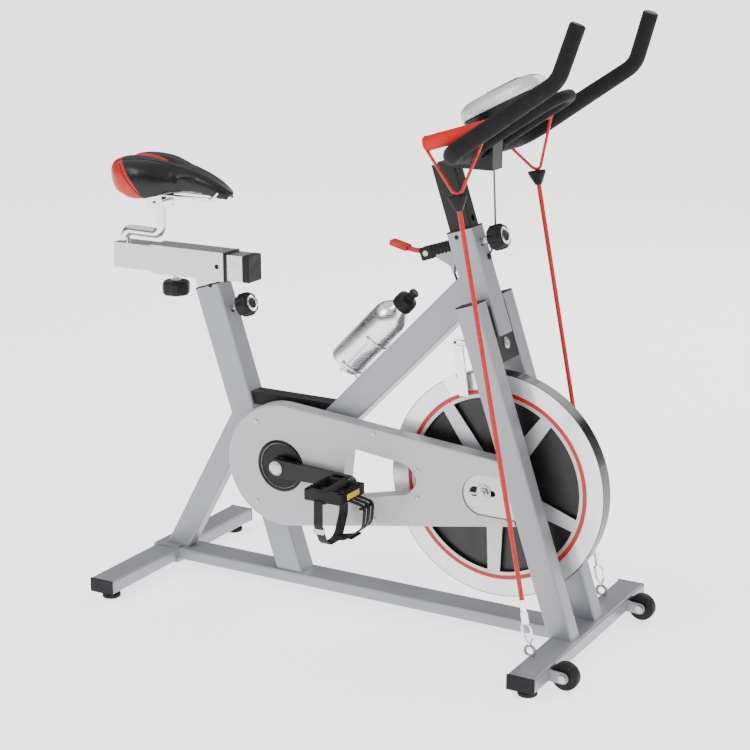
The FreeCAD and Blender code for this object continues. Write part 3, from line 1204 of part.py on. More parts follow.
# ---------------------------------------------------------------- checks and export
doc.recompute()
for item in doc.Objects:
    if "Invalid" in item.State or "Error" in item.State:
        raise RuntimeError(f"{item.Name} failed: {item.State}")
labels = [node.Label for node in nodes]
if len(labels) != len(set(labels)):
    raise RuntimeError("two nodes share a label")
os.makedirs("parts", exist_ok=True)
for node in nodes:
    shape = node.Shape
    if shape.isNull() or not shape.isValid() or not shape.Solids:
        raise RuntimeError(f"{node.Label} has no valid solid")
    shape.exportStep(f"parts/{node.Label}.step")
    print(node.Label, len(shape.Solids), round(shape.Volume / 1000, 1))
print("nodes:", len(nodes))


def cord_length(points, bends):
    """Length of straight runs joined by tangent arcs."""
    length = sum((after - before).Length for before, after in zip(points, points[1:]))
    for before, here, after, bend in zip(points, points[1:], points[2:], bends):
        turn = (here - before).getAngle(after - here)
        length += bend * (turn - 2 * math.tan(turn / 2))
    return length


for label, points, bends, radius in cords:
    volume = sum(node.Shape.Volume for node in nodes if node.Label == label)
    length = cord_length(points, bends)
    share = volume / (math.pi * radius ** 2 * length)
    print(label, "bend radii", bends, "length", round(length, 1), "volume over section x length", round(share, 4))
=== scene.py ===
# Indoor spin bike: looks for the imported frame. Metres, +X forward, +Y to the rider's left, +Z up.
import json
from math import copysign, cos, exp, pi, radians, sin, tan

import bmesh
import bpy
from mathutils import Matrix, Vector
from mathutils.bvhtree import BVHTree


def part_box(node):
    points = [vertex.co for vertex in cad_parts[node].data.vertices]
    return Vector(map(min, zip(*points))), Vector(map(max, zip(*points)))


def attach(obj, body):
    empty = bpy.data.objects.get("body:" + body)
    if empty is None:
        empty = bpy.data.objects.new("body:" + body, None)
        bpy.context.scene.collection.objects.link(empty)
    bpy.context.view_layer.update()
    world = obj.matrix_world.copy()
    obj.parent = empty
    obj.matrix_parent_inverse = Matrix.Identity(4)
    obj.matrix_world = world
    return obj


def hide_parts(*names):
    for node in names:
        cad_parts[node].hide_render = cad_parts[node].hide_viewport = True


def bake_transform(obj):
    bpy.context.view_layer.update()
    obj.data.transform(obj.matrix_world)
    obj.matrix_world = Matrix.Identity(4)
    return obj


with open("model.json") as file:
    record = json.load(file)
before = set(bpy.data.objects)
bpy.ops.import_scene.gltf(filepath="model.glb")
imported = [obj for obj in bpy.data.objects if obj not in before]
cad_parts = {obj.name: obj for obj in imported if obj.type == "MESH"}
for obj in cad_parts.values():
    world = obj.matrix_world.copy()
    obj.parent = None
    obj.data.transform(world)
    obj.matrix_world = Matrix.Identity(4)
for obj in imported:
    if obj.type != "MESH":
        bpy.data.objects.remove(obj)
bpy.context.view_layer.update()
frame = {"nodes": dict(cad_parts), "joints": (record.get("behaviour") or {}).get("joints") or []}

MM = 0.001
UP = Vector((0, 0, 1))
SIDE = Vector((0, 1, 0))
FORWARD = Vector((1, 0, 0))
JOINTS = {joint["name"]: joint for joint in frame["joints"]}


def pivot_of(joint):
    return Vector(JOINTS[joint]["pos_m"])


def axis_of(joint):
    return Vector(JOINTS[joint]["axis"])


CRANK = pivot_of("crank_spin")
AXLE = pivot_of("flywheel_spin")
CLAMP = pivot_of("saddle_tilt")
LEVER = pivot_of("brake_lever_press")
BAR_RADIUS = 16.5 * MM
bar_low = Vector(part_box("handlebar")[0])
BAR = Vector((bar_low.x + BAR_RADIUS, 0, bar_low.z + BAR_RADIUS))   # centre of the rear cross tube
BAR_HALF = 172 * MM
HEAD_UP = axis_of("handlebar_height")
HEAD_AHEAD = Vector((HEAD_UP.z, 0, -HEAD_UP.x))
HEAD_TOP = BAR - Vector((43.6, 0, 158.8)) * MM
HEAD_HALF = 28 * MM                           # half the head tube's depth
SEAT_UP = axis_of("seat_height")
SEAT_AHEAD = Vector((SEAT_UP.z, 0, -SEAT_UP.x))
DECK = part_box("front_stabilizer")[1][2]
RIDER_SIDES = (("right", -1), ("left", 1))
BAND_RADIUS = 4.5 * MM
CLIP_LENGTH = 92 * MM                         # from a band's eye to the start of its tube
STRAP_RADIUS = 3 * MM
LEAD_RADIUS = 2 * MM
CONSOLE_TILT = 27                             # degrees up towards the front
GRIP_TILT = 17
CAGE_ROD = 2.6 * MM


# -------- shaders
class Shader:
    """A material's node tree, with short calls for the nodes used here."""

    def __init__(self, name, color, rough=0.5, metal=0.0, specular=0.5):
        self.material = bpy.data.materials.new(name)
        self.material.use_nodes = True
        self.tree = self.material.node_tree
        self.surface = self.tree.nodes["Principled BSDF"]
        self.set(self.surface, {"Base Color": (*color, 1), "Roughness": rough, "Metallic": metal})
        self.surface.inputs["Specular IOR Level"].default_value = specular
        self.coords = self.tree.nodes.new("ShaderNodeTexCoord").outputs["Object"]

    def set(self, node, values):
        for key, value in values.items():
            if isinstance(value, bpy.types.NodeSocket):
                self.tree.links.new(value, node.inputs[key])
            else:
                node.inputs[key].default_value = value

    def node(self, kind, values, **options):
        made = self.tree.nodes.new(kind)
        for key, value in options.items():
            setattr(made, key, value)
        self.set(made, values)
        return made

    def math(self, operation, first, second=0.0):
        return self.node("ShaderNodeMath", {0: first, 1: second}, operation=operation).outputs[0]

    def noise(self, scale, detail=4.0, stretch=None):
        vector = self.coords
        if stretch is not None:
            vector = self.node("ShaderNodeMapping", {"Vector": vector, "Scale": stretch}).outputs[0]
        inputs = {"Vector": vector, "Scale": scale, "Detail": detail}
        return self.node("ShaderNodeTexNoise", inputs).outputs[0]

    def cells(self, scale, feature="F1"):
        made = self.node("ShaderNodeTexVoronoi", {"Vector": self.coords, "Scale": scale}, feature=feature)
        return made.outputs["Distance"]

    def between(self, value, low, high, start=0.0, end=1.0):
        """Maps a value from start ... end to low ... high."""
        inputs = {"Value": value, "From Min": start, "From Max": end, "To Min": low, "To Max": high}
        return self.node("ShaderNodeMapRange", inputs).outputs[0]

    def mix(self, factor, first, second):
        made = self.tree.nodes.new("ShaderNodeMix")
        made.data_type = "RGBA"
        for index, value in ((0, factor), (6, first), (7, second)):
            if isinstance(value, bpy.types.NodeSocket):
                self.tree.links.new(value, made.inputs[index])
            elif index == 0:
                made.inputs[index].default_value = value
            else:
                made.inputs[index].default_value = (*value, 1)
        return made.outputs[2]

    def color(self, value):
        self.set(self.surface, {"Base Color": value})

    def mottle(self, value, first, second, start=0.3, end=0.7):
        """Mixes two colours by where a noise value lies between start and end."""
        return self.mix(self.between(value, 0, 1, start, end), first, second)

    def rough(self, value, low, high):
        self.set(self.surface, {"Roughness": self.between(value, low, high, 0.3, 0.7)})

    def bump(self, height, strength, distance):
        made = self.node("ShaderNodeBump", {"Height": height, "Strength": strength, "Distance": distance})
        self.set(self.surface, {"Normal": made.outputs[0]})


def shade(color, factor):
    return tuple(channel * factor for channel in color)


def powder_coat(name, color, metal=0.35, gloss=0.5):
    """Metallic powder coat: fine flake, a faint orange peel and soft handling marks."""
    coat = Shader(name, color, 0.38, metal, gloss)
    coat.color(coat.mottle(coat.noise(1500), shade(color, 0.9), shade(color, 1.08), 0.35, 0.65))
    coat.rough(coat.noise(9, 6), 0.30, 0.46)
    coat.bump(coat.noise(420, 2), 0.12, 0.2 * MM)
    coat.surface.inputs["Coat Weight"].default_value = 0.24 * gloss
    return coat.material


def moulded(name, color, grain=1300, rough=0.5, depth=0.25):
    """Moulded plastic with a fine spark-eroded grain."""
    plastic = Shader(name, color, rough, specular=0.22)
    plastic.color(plastic.mottle(plastic.noise(35, 5), shade(color, 0.85), shade(color, 1.2)))
    plastic.rough(plastic.noise(60, 4), rough - 0.08, rough + 0.1)
    plastic.bump(plastic.cells(grain), depth, 0.15 * MM)
    return plastic.material


def polished(name, color, rough=0.07):
    """Chrome plate with faint polishing haze."""
    chrome = Shader(name, color, rough, 1.0)
    chrome.rough(chrome.noise(14, 5), rough * 0.6, rough * 1.8)
    chrome.bump(chrome.noise(60, 2), 0.03, 0.2 * MM)
    return chrome.material


def brushed(name, color, stretch, rough=0.3):
    """Machined or brushed metal: fine lines square to the stretched axis."""
    metal = Shader(name, color, rough, 1.0)
    lines = metal.noise(60, 3, stretch)
    metal.color(metal.mottle(lines, shade(color, 0.82), shade(color, 1.1), 0.35, 0.65))
    metal.rough(lines, rough - 0.08, rough + 0.12)
    metal.bump(lines, 0.15, 0.05 * MM)
    return metal.material


def foam(name, color):
    """Closed-cell foam: tiny open pores with painted shade in them, and a soft sheen."""
    grip = Shader(name, color, 0.85, specular=0.12)
    pores = grip.cells(1100)
    # the pores are painted darker than the foam between them: painted shade in the pores
    grip.color(grip.mottle(pores, shade(color, 0.6), shade(color, 1.35), 0.1))
    grip.rough(grip.noise(50, 4), 0.62, 0.85)
    grip.bump(pores, 0.5, 0.3 * MM)
    grip.surface.inputs["Sheen Weight"].default_value = 0.03
    return grip.material


def rubber(name, color, rough=0.55):
    band = Shader(name, color, rough, specular=0.25)
    band.color(band.mottle(band.noise(120, 4), shade(color, 0.82), shade(color, 1.12)))
    band.rough(band.noise(90, 3), rough - 0.12, rough + 0.12)
    band.bump(band.noise(700, 2), 0.2, 0.1 * MM)
    return band.material


def leather(name):
    """Black vinyl with a pebble grain, red rear corners and a red centre inlay."""
    black, red = (0.005, 0.005, 0.006), (0.46, 0.016, 0.008)
    cover = Shader(name, black, 0.45, specular=0.3)
    calc = cover.math
    split = cover.node("ShaderNodeSeparateXYZ", {"Vector": cover.coords})
    x, y, z = split.outputs
    width = calc("ABSOLUTE", y)
    behind = calc("SUBTRACT", CLAMP.x, x)
    # the rear panel's edge leans: it starts further back at the top than at the bottom
    slant = calc("MULTIPLY", calc("SUBTRACT", z, CLAMP.z + 12 * MM), 0.72)
    across = calc("MULTIPLY", width, 0.42)
    edge = calc("SUBTRACT", calc("SUBTRACT", behind, slant), 2 * MM)
    rear = calc("GREATER_THAN", calc("ADD", edge, across), 18 * MM)
    outer = calc("GREATER_THAN", width, 34 * MM)
    taper = calc("MULTIPLY", calc("SUBTRACT", x, CLAMP.x - 60 * MM), 0.13)
    inlay = calc("LESS_THAN", calc("ADD", width, taper), 19 * MM)
    inlay = calc("MULTIPLY", inlay, calc("GREATER_THAN", width, 7 * MM))
    high = calc("GREATER_THAN", z, CLAMP.z + 70 * MM)
    long = calc("LESS_THAN", x, CLAMP.x + 14 * MM)
    inlay = calc("MULTIPLY", inlay, calc("MULTIPLY", high, long))
    panels = calc("MAXIMUM", calc("MULTIPLY", rear, outer), inlay)
    tone = cover.between(cover.noise(40, 4), 0, 1, 0.3, 0.7)
    dark = cover.mix(tone, shade(black, 0.8), shade(black, 1.6))
    bright = cover.mix(tone, shade(red, 0.85), shade(red, 1.1))
    cover.color(cover.mix(panels, dark, bright))
    cover.rough(cover.noise(150, 3), 0.24, 0.38)
    cover.bump(cover.cells(750, "SMOOTH_F1"), 0.35, 0.25 * MM)
    return cover.material


def flywheel_finish(name):
    """Machined rim, red ring, silver spokes, black pockets and a painted dark reflection on the tread, worked
    out from the distance to the axle.
    """
    silver = (0.50, 0.505, 0.52)
    wheel = Shader(name, silver, 0.3, 0.9)
    calc = wheel.math
    local = wheel.node("ShaderNodeVectorMath", {0: wheel.coords, 1: AXLE}, operation="SUBTRACT").outputs[0]
    flat = wheel.node("ShaderNodeVectorMath", {0: local, 1: (1, 0, 1)}, operation="MULTIPLY").outputs[0]
    radius = wheel.node("ShaderNodeVectorMath", {0: flat}, operation="LENGTH").outputs["Value"]
    depth = calc("ABSOLUTE", wheel.node("ShaderNodeSeparateXYZ", {"Vector": local}).outputs[1])
    rings = wheel.node("ShaderNodeTexNoise", {"Vector": flat, "Scale": 30.0, "Detail": 3.0}).outputs[0]
    ring = calc("COMPARE", radius, 187 * MM)
    ring.node.inputs[2].default_value = 4.2 * MM
    sunk = calc("LESS_THAN", depth, 15.2 * MM)
    inside = calc("LESS_THAN", radius, 179 * MM)
    # the tread, the rim's outer face, is painted near-black: a painted dark reflection
    painted_dark_tread = calc("GREATER_THAN", radius, 224.5 * MM)
    rim = calc("GREATER_THAN", radius, 192 * MM)
    dark = calc("MAXIMUM", calc("MULTIPLY", sunk, inside), painted_dark_tread)
    bright = wheel.mottle(rings, shade(silver, 0.92), shade(silver, 1.08))
    polished_rim = wheel.mottle(rings, (0.72, 0.72, 0.73), (0.82, 0.82, 0.83))
    metal_face = wheel.mix(rim, bright, polished_rim)
    painted = wheel.mix(ring, metal_face, (0.42, 0.008, 0.006))
    # near-black for the pockets, also put on the tread as its painted dark reflection
    pocket = wheel.mottle(wheel.noise(60), (0.004, 0.004, 0.004), (0.010, 0.009, 0.009))
    wheel.color(wheel.mix(dark, painted, pocket))
    smoother = calc("MULTIPLY", rim, 0.18)
    rough = calc("SUBTRACT", wheel.between(rings, 0.34, 0.44, 0.3, 0.7), smoother)
    wheel.set(wheel.surface, {"Roughness": rough})
    metal = calc("SUBTRACT", 0.6, calc("MULTIPLY", calc("MAXIMUM", dark, ring), 0.5))
    wheel.set(wheel.surface, {"Metallic": metal})
    wheel.bump(wheel.noise(500, 2), 0.08, 0.1 * MM)
    return wheel.material


def screen_glass(name):
    """The unlit grey display of the console."""
    glass = Shader(name, (0.19, 0.21, 0.18), 0.12)
    glass.color(glass.mottle(glass.noise(25, 2), (0.16, 0.18, 0.155), (0.22, 0.24, 0.205)))
    glass.bump(glass.noise(30, 1), 0.02, 0.1 * MM)
    glass.surface.inputs["Coat Weight"].default_value = 0.6
    return glass.material


PAINT = powder_coat("frame_paint", (0.27, 0.275, 0.30))
GUARD = powder_coat("guard_paint", (0.39, 0.395, 0.41), 0.2)
PLATE_SILVER = powder_coat("plate_silver", (0.60, 0.60, 0.62), 0.2)
BLACK_PAINT = powder_coat("black_paint", (0.005, 0.005, 0.006), 0.0, 0.25)
BLACK = moulded("black_plastic", (0.005, 0.005, 0.0055))
SMOOTH_BLACK = moulded("smooth_black", (0.004, 0.004, 0.0045), 600, 0.25, 0.08)
RED = moulded("red_plastic", (0.40, 0.008, 0.006), 900, 0.32, 0.1)
SILVER_SHELL = powder_coat("silver_shell", (0.58, 0.59, 0.61), 0.4)
CHROME = polished("chrome", (0.82, 0.82, 0.83))
SATIN = brushed("satin_plate", (0.56, 0.56, 0.555), (14, 1, 1), 0.22)
STEEL = brushed("zinc_steel", (0.50, 0.50, 0.51), (1, 12, 1))
DARK_STEEL = brushed("oiled_steel", (0.14, 0.13, 0.125), (6, 1, 1), 0.4)
BOTTLE_METAL = brushed("bottle_metal", (0.78, 0.78, 0.79), (1, 1, 14), 0.2)
RUBBER = rubber("black_rubber", (0.007, 0.007, 0.007), 0.6)
BAND_RED = rubber("band_red", (0.46, 0.012, 0.008), 0.35)
FOAM = foam("black_foam", (0.007, 0.007, 0.008))
RED_FOAM = foam("red_foam", (0.50, 0.016, 0.010))
LEATHER = leather("saddle_vinyl")
FLYWHEEL = flywheel_finish("flywheel_finish")
SCREEN = screen_glass("display")
LEAD_GREY = rubber("lead_grey", (0.10, 0.10, 0.105), 0.4)
REFLECTOR = moulded("reflector", (0.80, 0.52, 0.03), 250, 0.15, 0.6)


# -------- mesh helpers
def axes(origin, z_way, x_hint=FORWARD):
    """A matrix at origin whose Z points along z_way, with X as near x_hint as it can be."""
    z = Vector(z_way).normalized()
    x = Vector(x_hint) - z * z.dot(Vector(x_hint))
    x = x.normalized() if x.length > 1e-6 else z.orthogonal().normalized()
    turn = Matrix((x, z.cross(x), z)).transposed().to_4x4()
    return Matrix.Translation(Vector(origin)) @ turn


def mm(x, y, z):
    """A vector given in millimetres."""
    return Vector((x, y, z)) * MM


def shifted(place, x, y, z):
    """A frame moved by millimetres along its own axes."""
    return place @ Matrix.Translation(mm(x, y, z))


def slanted(degrees):
    """A direction that rises towards the front."""
    return Vector((cos(radians(degrees)), 0, sin(radians(degrees))))


def box_of(node):
    return [Vector(corner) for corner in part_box(node)]


def add_object(name, data, material):
    made = bpy.data.objects.new(name, data)
    bpy.context.collection.objects.link(made)
    data.materials.append(material)
    return made


def from_bmesh(name, bm, material, smooth_angle=35):
    """Makes an object; edges sharper than the angle stay crisp."""
    bmesh.ops.remove_doubles(bm, verts=bm.verts, dist=1e-7)
    bmesh.ops.recalc_face_normals(bm, faces=bm.faces)
    mesh = bpy.data.meshes.new(name)
    bm.to_mesh(mesh)
    bm.free()
    mesh.shade_smooth()
    mesh.set_sharp_from_angle(angle=radians(smooth_angle))
    return add_object(name, mesh, material)


def modifier(piece, kind, **values):
    made = piece.modifiers.new(kind.lower(), kind)
    for key, value in values.items():
        setattr(made, key, value)
    return made


def soften(piece, width, segments=3, angle=35):
    """A small rolled edge on every sharp edge."""
    modifier(piece, "BEVEL", width=width, segments=segments, limit_method="ANGLE",
             angle_limit=radians(angle), harden_normals=True)
    return piece


def apply_modifiers(piece):
    """Replaces a piece's mesh with its evaluated mesh."""
    graph = bpy.context.evaluated_depsgraph_get()
    mesh = bpy.data.meshes.new_from_object(piece.evaluated_get(graph))
    piece.modifiers.clear()
    piece.data = mesh
    return piece


def loft(name, rings, material, smooth_angle=35, capped=True, wrap=False):
    """A skin through rings of points, each with as many points as the others."""
    bm = bmesh.new()
    rows = [[bm.verts.new(point) for point in ring] for ring in rings]
    pairs = list(zip(rows, rows[1:] + rows[:1] if wrap else rows[1:]))
    for row, following in pairs:
        for index in range(len(row)):
            after = (index + 1) % len(row)
            bm.faces.new((row[index], row[after], following[after], following[index]))
    if capped and not wrap:
        bm.faces.new(rows[0])
        bm.faces.new(rows[-1])
    return from_bmesh(name, bm, material, smooth_angle)


def circle(matrix, radius, height, segments, squash=1.0):
    """Points round a frame's Z axis."""
    angles = [2 * pi * step / segments for step in range(segments)]
    return [matrix @ Vector((radius * cos(a), radius * squash * sin(a), height)) for a in angles]


def lathe(name, matrix, profile, material, segments=48, smooth_angle=35):
    """A turned piece about the frame's Z; the profile is (radius, height) in millimetres."""
    rings = [circle(matrix, max(r, 0.01) * MM, z * MM, segments) for r, z in profile]
    return loft(name, rings, material, smooth_angle)


def rounded_block(name, matrix, size, radius, material, segments=6, edge=1.0):
    """A block with round upright corners and softened edges; size in millimetres, standing on Z = 0."""
    length, width, height = size
    ring = []
    for quarter, (sx, sy) in enumerate(((1, 1), (-1, 1), (-1, -1), (1, -1))):
        for step in range(segments + 1):
            angle = pi / 2 * (quarter + step / segments)
            ring.append(((sx * (length / 2 - radius) + radius * cos(angle)) * MM,
                         (sy * (width / 2 - radius) + radius * sin(angle)) * MM))
    rings = [[matrix @ Vector((x, y, z * MM)) for x, y in ring] for z in (0, height)]
    return soften(loft(name, rings, material), edge * MM)


def bent(points, radii, steps=10):
    """Points along straight runs joined by arcs, one radius for each inner point, in metres."""
    line = [Vector(points[0])]
    for before, here, after, radius in zip(points, points[1:], points[2:], radii):
        arriving = (Vector(here) - Vector(before)).normalized()
        leaving = (Vector(after) - Vector(here)).normalized()
        turn = arriving.angle(leaving)
        way = (leaving - arriving).normalized()
        centre = Vector(here) + way * (radius / cos(turn / 2))
        start = Vector(here) - arriving * radius * tan(turn / 2) - centre
        axis = arriving.cross(leaving).normalized()
        line += [centre + Matrix.Rotation(turn * step / steps, 3, axis) @ start for step in range(steps + 1)]
    line.append(Vector(points[-1]))
    return line


def tube(name, line, radius, material, segments=20, cyclic=False):
    """A round tube as a mesh along a line of points; radius is one number or one for each point."""
    radii = radius if isinstance(radius, (list, tuple)) else [radius] * len(line)
    count = len(line)
    rings = []
    side = None
    for index, point in enumerate(line):
        before = line[index - 1] if cyclic or index else point
        after = line[(index + 1) % count] if cyclic or index < count - 1 else point
        along = (after - before).normalized()
        side = along.orthogonal() if side is None else side - along * side.dot(along)
        side.normalize()
        other = along.cross(side)
        rings.append([point + (side * cos(a) + other * sin(a)) * radii[index]
                      for a in (2 * pi * step / segments for step in range(segments))])
    return loft(name, rings, material, 50, wrap=cyclic)


def strip(name, line, across, width, thick, material):
    """A flat strip along a line of points; across is its width direction."""
    rings = []
    for index, point in enumerate(line):
        along = (line[min(index + 1, len(line) - 1)] - line[max(index - 1, 0)]).normalized()
        out = along.cross(across).normalized() * (thick / 2)
        reach = across * (width / 2)
        rings.append([point + reach + out, point - reach + out, point - reach - out, point + reach - out])
    return soften(loft(name, rings, material), thick * 0.3, 2)


def join(name, pieces):
    """Joins pieces into the first one, modifiers applied."""
    for piece in pieces:
        apply_modifiers(piece)
    with bpy.context.temp_override(active_object=pieces[0], selected_editable_objects=pieces):
        bpy.ops.object.join()
    pieces[0].name = name
    return pieces[0]


def finish_piece(piece, body, *nodes, slot=None):
    """Rides a piece on a body, in place of the CAD nodes that it stands for."""
    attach(piece, body)
    if nodes:
        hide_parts(*nodes)
    return piece


def turned(name, place, profile, material, segments, body, *nodes, smooth_angle=35):
    """A turned piece that rides on a body."""
    return finish_piece(lathe(name, place, profile, material, segments, smooth_angle), body, *nodes)


def node_frame(node, joint_name):
    """A frame at a CAD node's middle whose Z is its joint's axis."""
    low, high = (Vector(corner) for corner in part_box(node))
    return axes((low + high) / 2, JOINTS[joint_name]["axis"])


# -------- CAD nodes that keep their shape
def dress_cad_nodes():
    """Materials for the nodes whose CAD shape is shown."""
    finishes = {
        PAINT: ("base_tube", "rear_stabilizer", "front_stabilizer", "seat_tube", "rear_strut", "main_tube",
                "head_tube", "fork_leg_right", "fork_leg_left", "bottom_bracket_shell", "stabilizer_tabs"),
        PLATE_SILVER: ("axle_plates",),
        GUARD: ("chain_guard_outer", "chain_guard_inner"),
        BLACK_PAINT: ("fork_crown", "crank_arm_right", "crank_arm_left", "handlebar_post"),
        BLACK: ("tube_plugs", "sweat_cover"),
        RUBBER: ("stabilizer_feet", "brake_cable"),
        STEEL: ("frame_fasteners", "bearings", "flywheel_axle", "flywheel_hub", "crank_spindle"),
        DARK_STEEL: ("chainring", "drive_chain"),
        FLYWHEEL: ("flywheel",),
        RED: ("brake_lever",),
        SATIN: ("seat_post", "slider_tube"),
        CHROME: ("saddle_stem", "saddle_rails", "brake_arm"),
    }
    for material, names in finishes.items():
        for name in names:
            node = frame["nodes"][name]
            node.data.materials.clear()
            node.data.materials.append(material)


# -------- saddle
# offset from the clamp, half width, skirt edge and top, in millimetres
SADDLE_STATIONS = (
    (-91, 40, 56, 80), (-85, 60, 42, 88), (-68, 78, 24, 95), (-34, 87, 12, 96), (0, 84, 11, 92),
    (26, 70, 16, 87), (52, 52, 25, 81), (80, 39, 30, 75), (108, 32, 29, 68), (134, 27, 24, 59),
    (156, 22, 17, 49), (173, 15, 15, 39), (183, 5, 22, 32),
)
SADDLE_UNDER = 27                             # lowest the middle of the underside comes, over the rails
# share of the half width, and share of the way from the skirt's edge to the top
SADDLE_PROFILE = (
    (0.0, 0.97), (0.3, 1.0), (0.62, 0.98), (0.86, 0.88), (0.97, 0.70), (1.0, 0.48), (0.97, 0.22),
    (0.91, 0.04), (0.82, 0.0), (0.70, 0.10),
)


def saddle_under(low, high):
    """Height of the middle of the underside."""
    return min(max(low, SADDLE_UNDER), low + (high - low) * 0.45)


def saddle_ring(offset, half, low, high):
    """One cross-section: a crowned top, round shoulders, and skirts that hang beside a hollow underside."""
    side = [(share * half, low + (high - low) * rise) for share, rise in SADDLE_PROFILE]
    under = saddle_under(low, high)
    side += [(0.45 * half, under), (0.0, under)]
    outline = side + [(-y, z) for y, z in side[-2:0:-1]]
    return [CLAMP + mm(offset, y, z) for y, z in outline]


def swell(piece, frames, cap):
    """Cloth under light pressure, so that the padding crowns between its edges; the result is applied."""
    before = [vertex.co.copy() for vertex in piece.data.vertices]
    cloth = modifier(piece, "CLOTH")
    cloth.settings.use_pressure = True
    cloth.settings.uniform_pressure_force = 4
    cloth.settings.effector_weights.gravity = 0
    cloth.point_cache.frame_end = frames
    scene = bpy.context.scene
    for number in range(1, frames + 1):
        scene.frame_set(number)
    apply_modifiers(piece)
    scene.frame_set(1)
    for vertex, start in zip(piece.data.vertices, before):
        moved = vertex.co - start
        if moved.length > cap:
            vertex.co = start + moved.normalized() * cap
    return piece


def saddle_seam(offset):
    """How far the top panel's seam stands from the middle at an offset from the clamp."""
    return 58 - 34 * min(max((offset + 60) / 130, 0), 1) - 8 * min(max((offset - 70) / 90, 0), 1)


def saddle_groove(piece):
    """Sinks the centre channel and the two seams beside it into the finished pad."""
    for vertex in piece.data.vertices:
        offset = (vertex.co.x - CLAMP.x) / MM
        y = vertex.co.y / MM
        top = min(max(vertex.normal.z * 1.6, 0), 1)
        length = min(max((104 - offset) / 90, 0), 1)
        channel = 13.0 * exp(-(y / 11) ** 2)
        seam = 1.8 * exp(-((abs(y) - saddle_seam(offset)) / 2.2) ** 2)
        vertex.co.z -= (channel * length + seam) * top * MM


def surface_line(tree, points):
    """Drops points onto the pad from above."""
    line = []
    for point in points:
        hit = tree.ray_cast(Vector((point[0], point[1], CLAMP.z + 0.2)), -UP)[0]
        if hit is not None:
            line.append(hit)
    return line


def build_saddle():
    rings = [saddle_ring(*station) for station in SADDLE_STATIONS]
    pad = loft("saddle_pad", rings, LEATHER, 80)
    modifier(pad, "SUBSURF", levels=1, render_levels=1)
    apply_modifiers(pad)
    modifier(pad, "REMESH", mode="VOXEL", voxel_size=4 * MM)
    apply_modifiers(pad)
    swell(pad, 14, 4 * MM)
    saddle_groove(pad)
    modifier(pad, "SMOOTH", factor=0.5, iterations=3)
    modifier(pad, "SUBSURF", levels=1, render_levels=1)
    apply_modifiers(pad)
    pad.data.shade_smooth()
    pad.data.materials.clear()
    pad.data.materials.append(LEATHER)
    finish_piece(pad, "saddle", "saddle", slot="saddle_cover")
    saddle_trim(pad)


def saddle_trim(pad):
    """Piping along the panel seams and the plastic base under the skirt."""
    tree = BVHTree.FromObject(pad, bpy.context.evaluated_depsgraph_get())
    seams = []
    for side in (-1, 1):
        run = [(CLAMP.x + x * MM, side * saddle_seam(x) * MM) for x in range(-74, 166, 8)]
        seams.append(tube("seam", surface_line(tree, run), 0.9 * MM, SMOOTH_BLACK, 8))
    for side in (-1, 1):
        line = []
        for step in range(14):
            share = step / 13
            spot = CLAMP + mm(-50 + 58 * share, side * 130, 84 - 68 * share)
            hit = tree.ray_cast(spot, -SIDE * side)[0]
            if hit is not None:
                line.append(hit)
        seams.append(tube("panel_seam", line, 0.9 * MM, SMOOTH_BLACK, 8))
    finish_piece(join("saddle_piping", seams), "saddle")
    finish_piece(saddle_base(), "saddle")


def saddle_base():
    """The moulded shell that closes the underside between the skirts."""
    rings = []
    for offset, half, low, high in SADDLE_STATIONS[1:-1]:
        under = saddle_under(low, high)
        ring = [(0.80, low + 4), (0.66, low + 4), (0.42, under - 1.6), (0.0, under - 1.6)]
        side = [(share * half, z) for share, z in ring]
        outline = side + [(-y, z) for y, z in side[-2::-1]]
        outline += [(-0.5 * half, under + 4), (0.5 * half, under + 4)]
        rings.append([CLAMP + mm(offset, y, z) for y, z in outline])
    return soften(loft("saddle_base", rings, BLACK, 40), 0.5 * MM)


# -------- handlebar and console
def from_bar(ahead, y, above):
    """A point given in millimetres from the centre of the rear cross tube."""
    return BAR + mm(ahead, y, above)


def bar_line(y_sign):
    """One half of the outer bar, from its tip to the middle of the rear cross tube."""
    half = BAR_HALF / MM
    points = [from_bar(249, y_sign * (half - 4), 246), from_bar(218, y_sign * (half + 5), 148),
              from_bar(0, y_sign * half, 0), from_bar(0, 0, 0)]
    return bent(points, [52 * MM, 44 * MM], 12)


def build_handlebar():
    """Foam-covered outer bar with rubber tips, a bare steel middle and the inner rest loop."""
    pieces = []
    for word, side in RIDER_SIDES:
        line = bar_line(side)
        tip, elbow = line[0], line[1]
        along = (elbow - tip).normalized()
        foam_line = [tip + along * 3 * MM] + line[1:-1] + [from_bar(0, side * 46, 0)]
        radii = [14.6 * MM] * 14 + [BAR_RADIUS] * (len(foam_line) - 14)
        pieces.append(tube(f"bar_foam_{word}", foam_line, radii, FOAM, 28))
        cap = [(0, 0), (9, 0), (12.6, 1.2), (14.2, 3.4), (14.2, 6), (11, 7)]
        lathe_frame = axes(tip, along)
        turned(f"bar_tip_{word}", lathe_frame, cap, BLACK, 32, "handlebar")
        collar = axes(from_bar(0, side * 44, 0), SIDE * side)
        profile = [(11, 0), (15.5, 0), (16.4, 1), (16.4, 5), (15.5, 6), (11, 6)]
        turned(f"bar_collar_{word}", collar, profile, BLACK, 32, "handlebar")
    pieces.append(tube("bar_middle", [from_bar(0, -46, 0), from_bar(0, 46, 0)], 12.5 * MM, BLACK_PAINT, 28))
    inner = [from_bar(0, -48, 0), from_bar(158, -42, 104), from_bar(158, 42, 104), from_bar(0, 48, 0)]
    pieces.append(tube("bar_inner", bent(inner, [36 * MM, 36 * MM], 12), 11 * MM, FOAM, 24))
    bar = join("bar_tubes", pieces)
    finish_piece(bar, "handlebar", "handlebar", slot="foam")


def console_ring(height, grow, count=48):
    """A rounded outline of the console at a height over its base, rounder towards the front."""
    ring = []
    for step in range(count):
        angle = 2 * pi * step / count
        c, s = cos(angle), sin(angle)
        x = (84 + grow) * copysign(abs(c) ** 0.72, c)
        y = (48 + grow) * copysign(abs(s) ** 0.6, s) * (1 - 0.10 * c)
        ring.append(mm(x, y, height))
    return ring


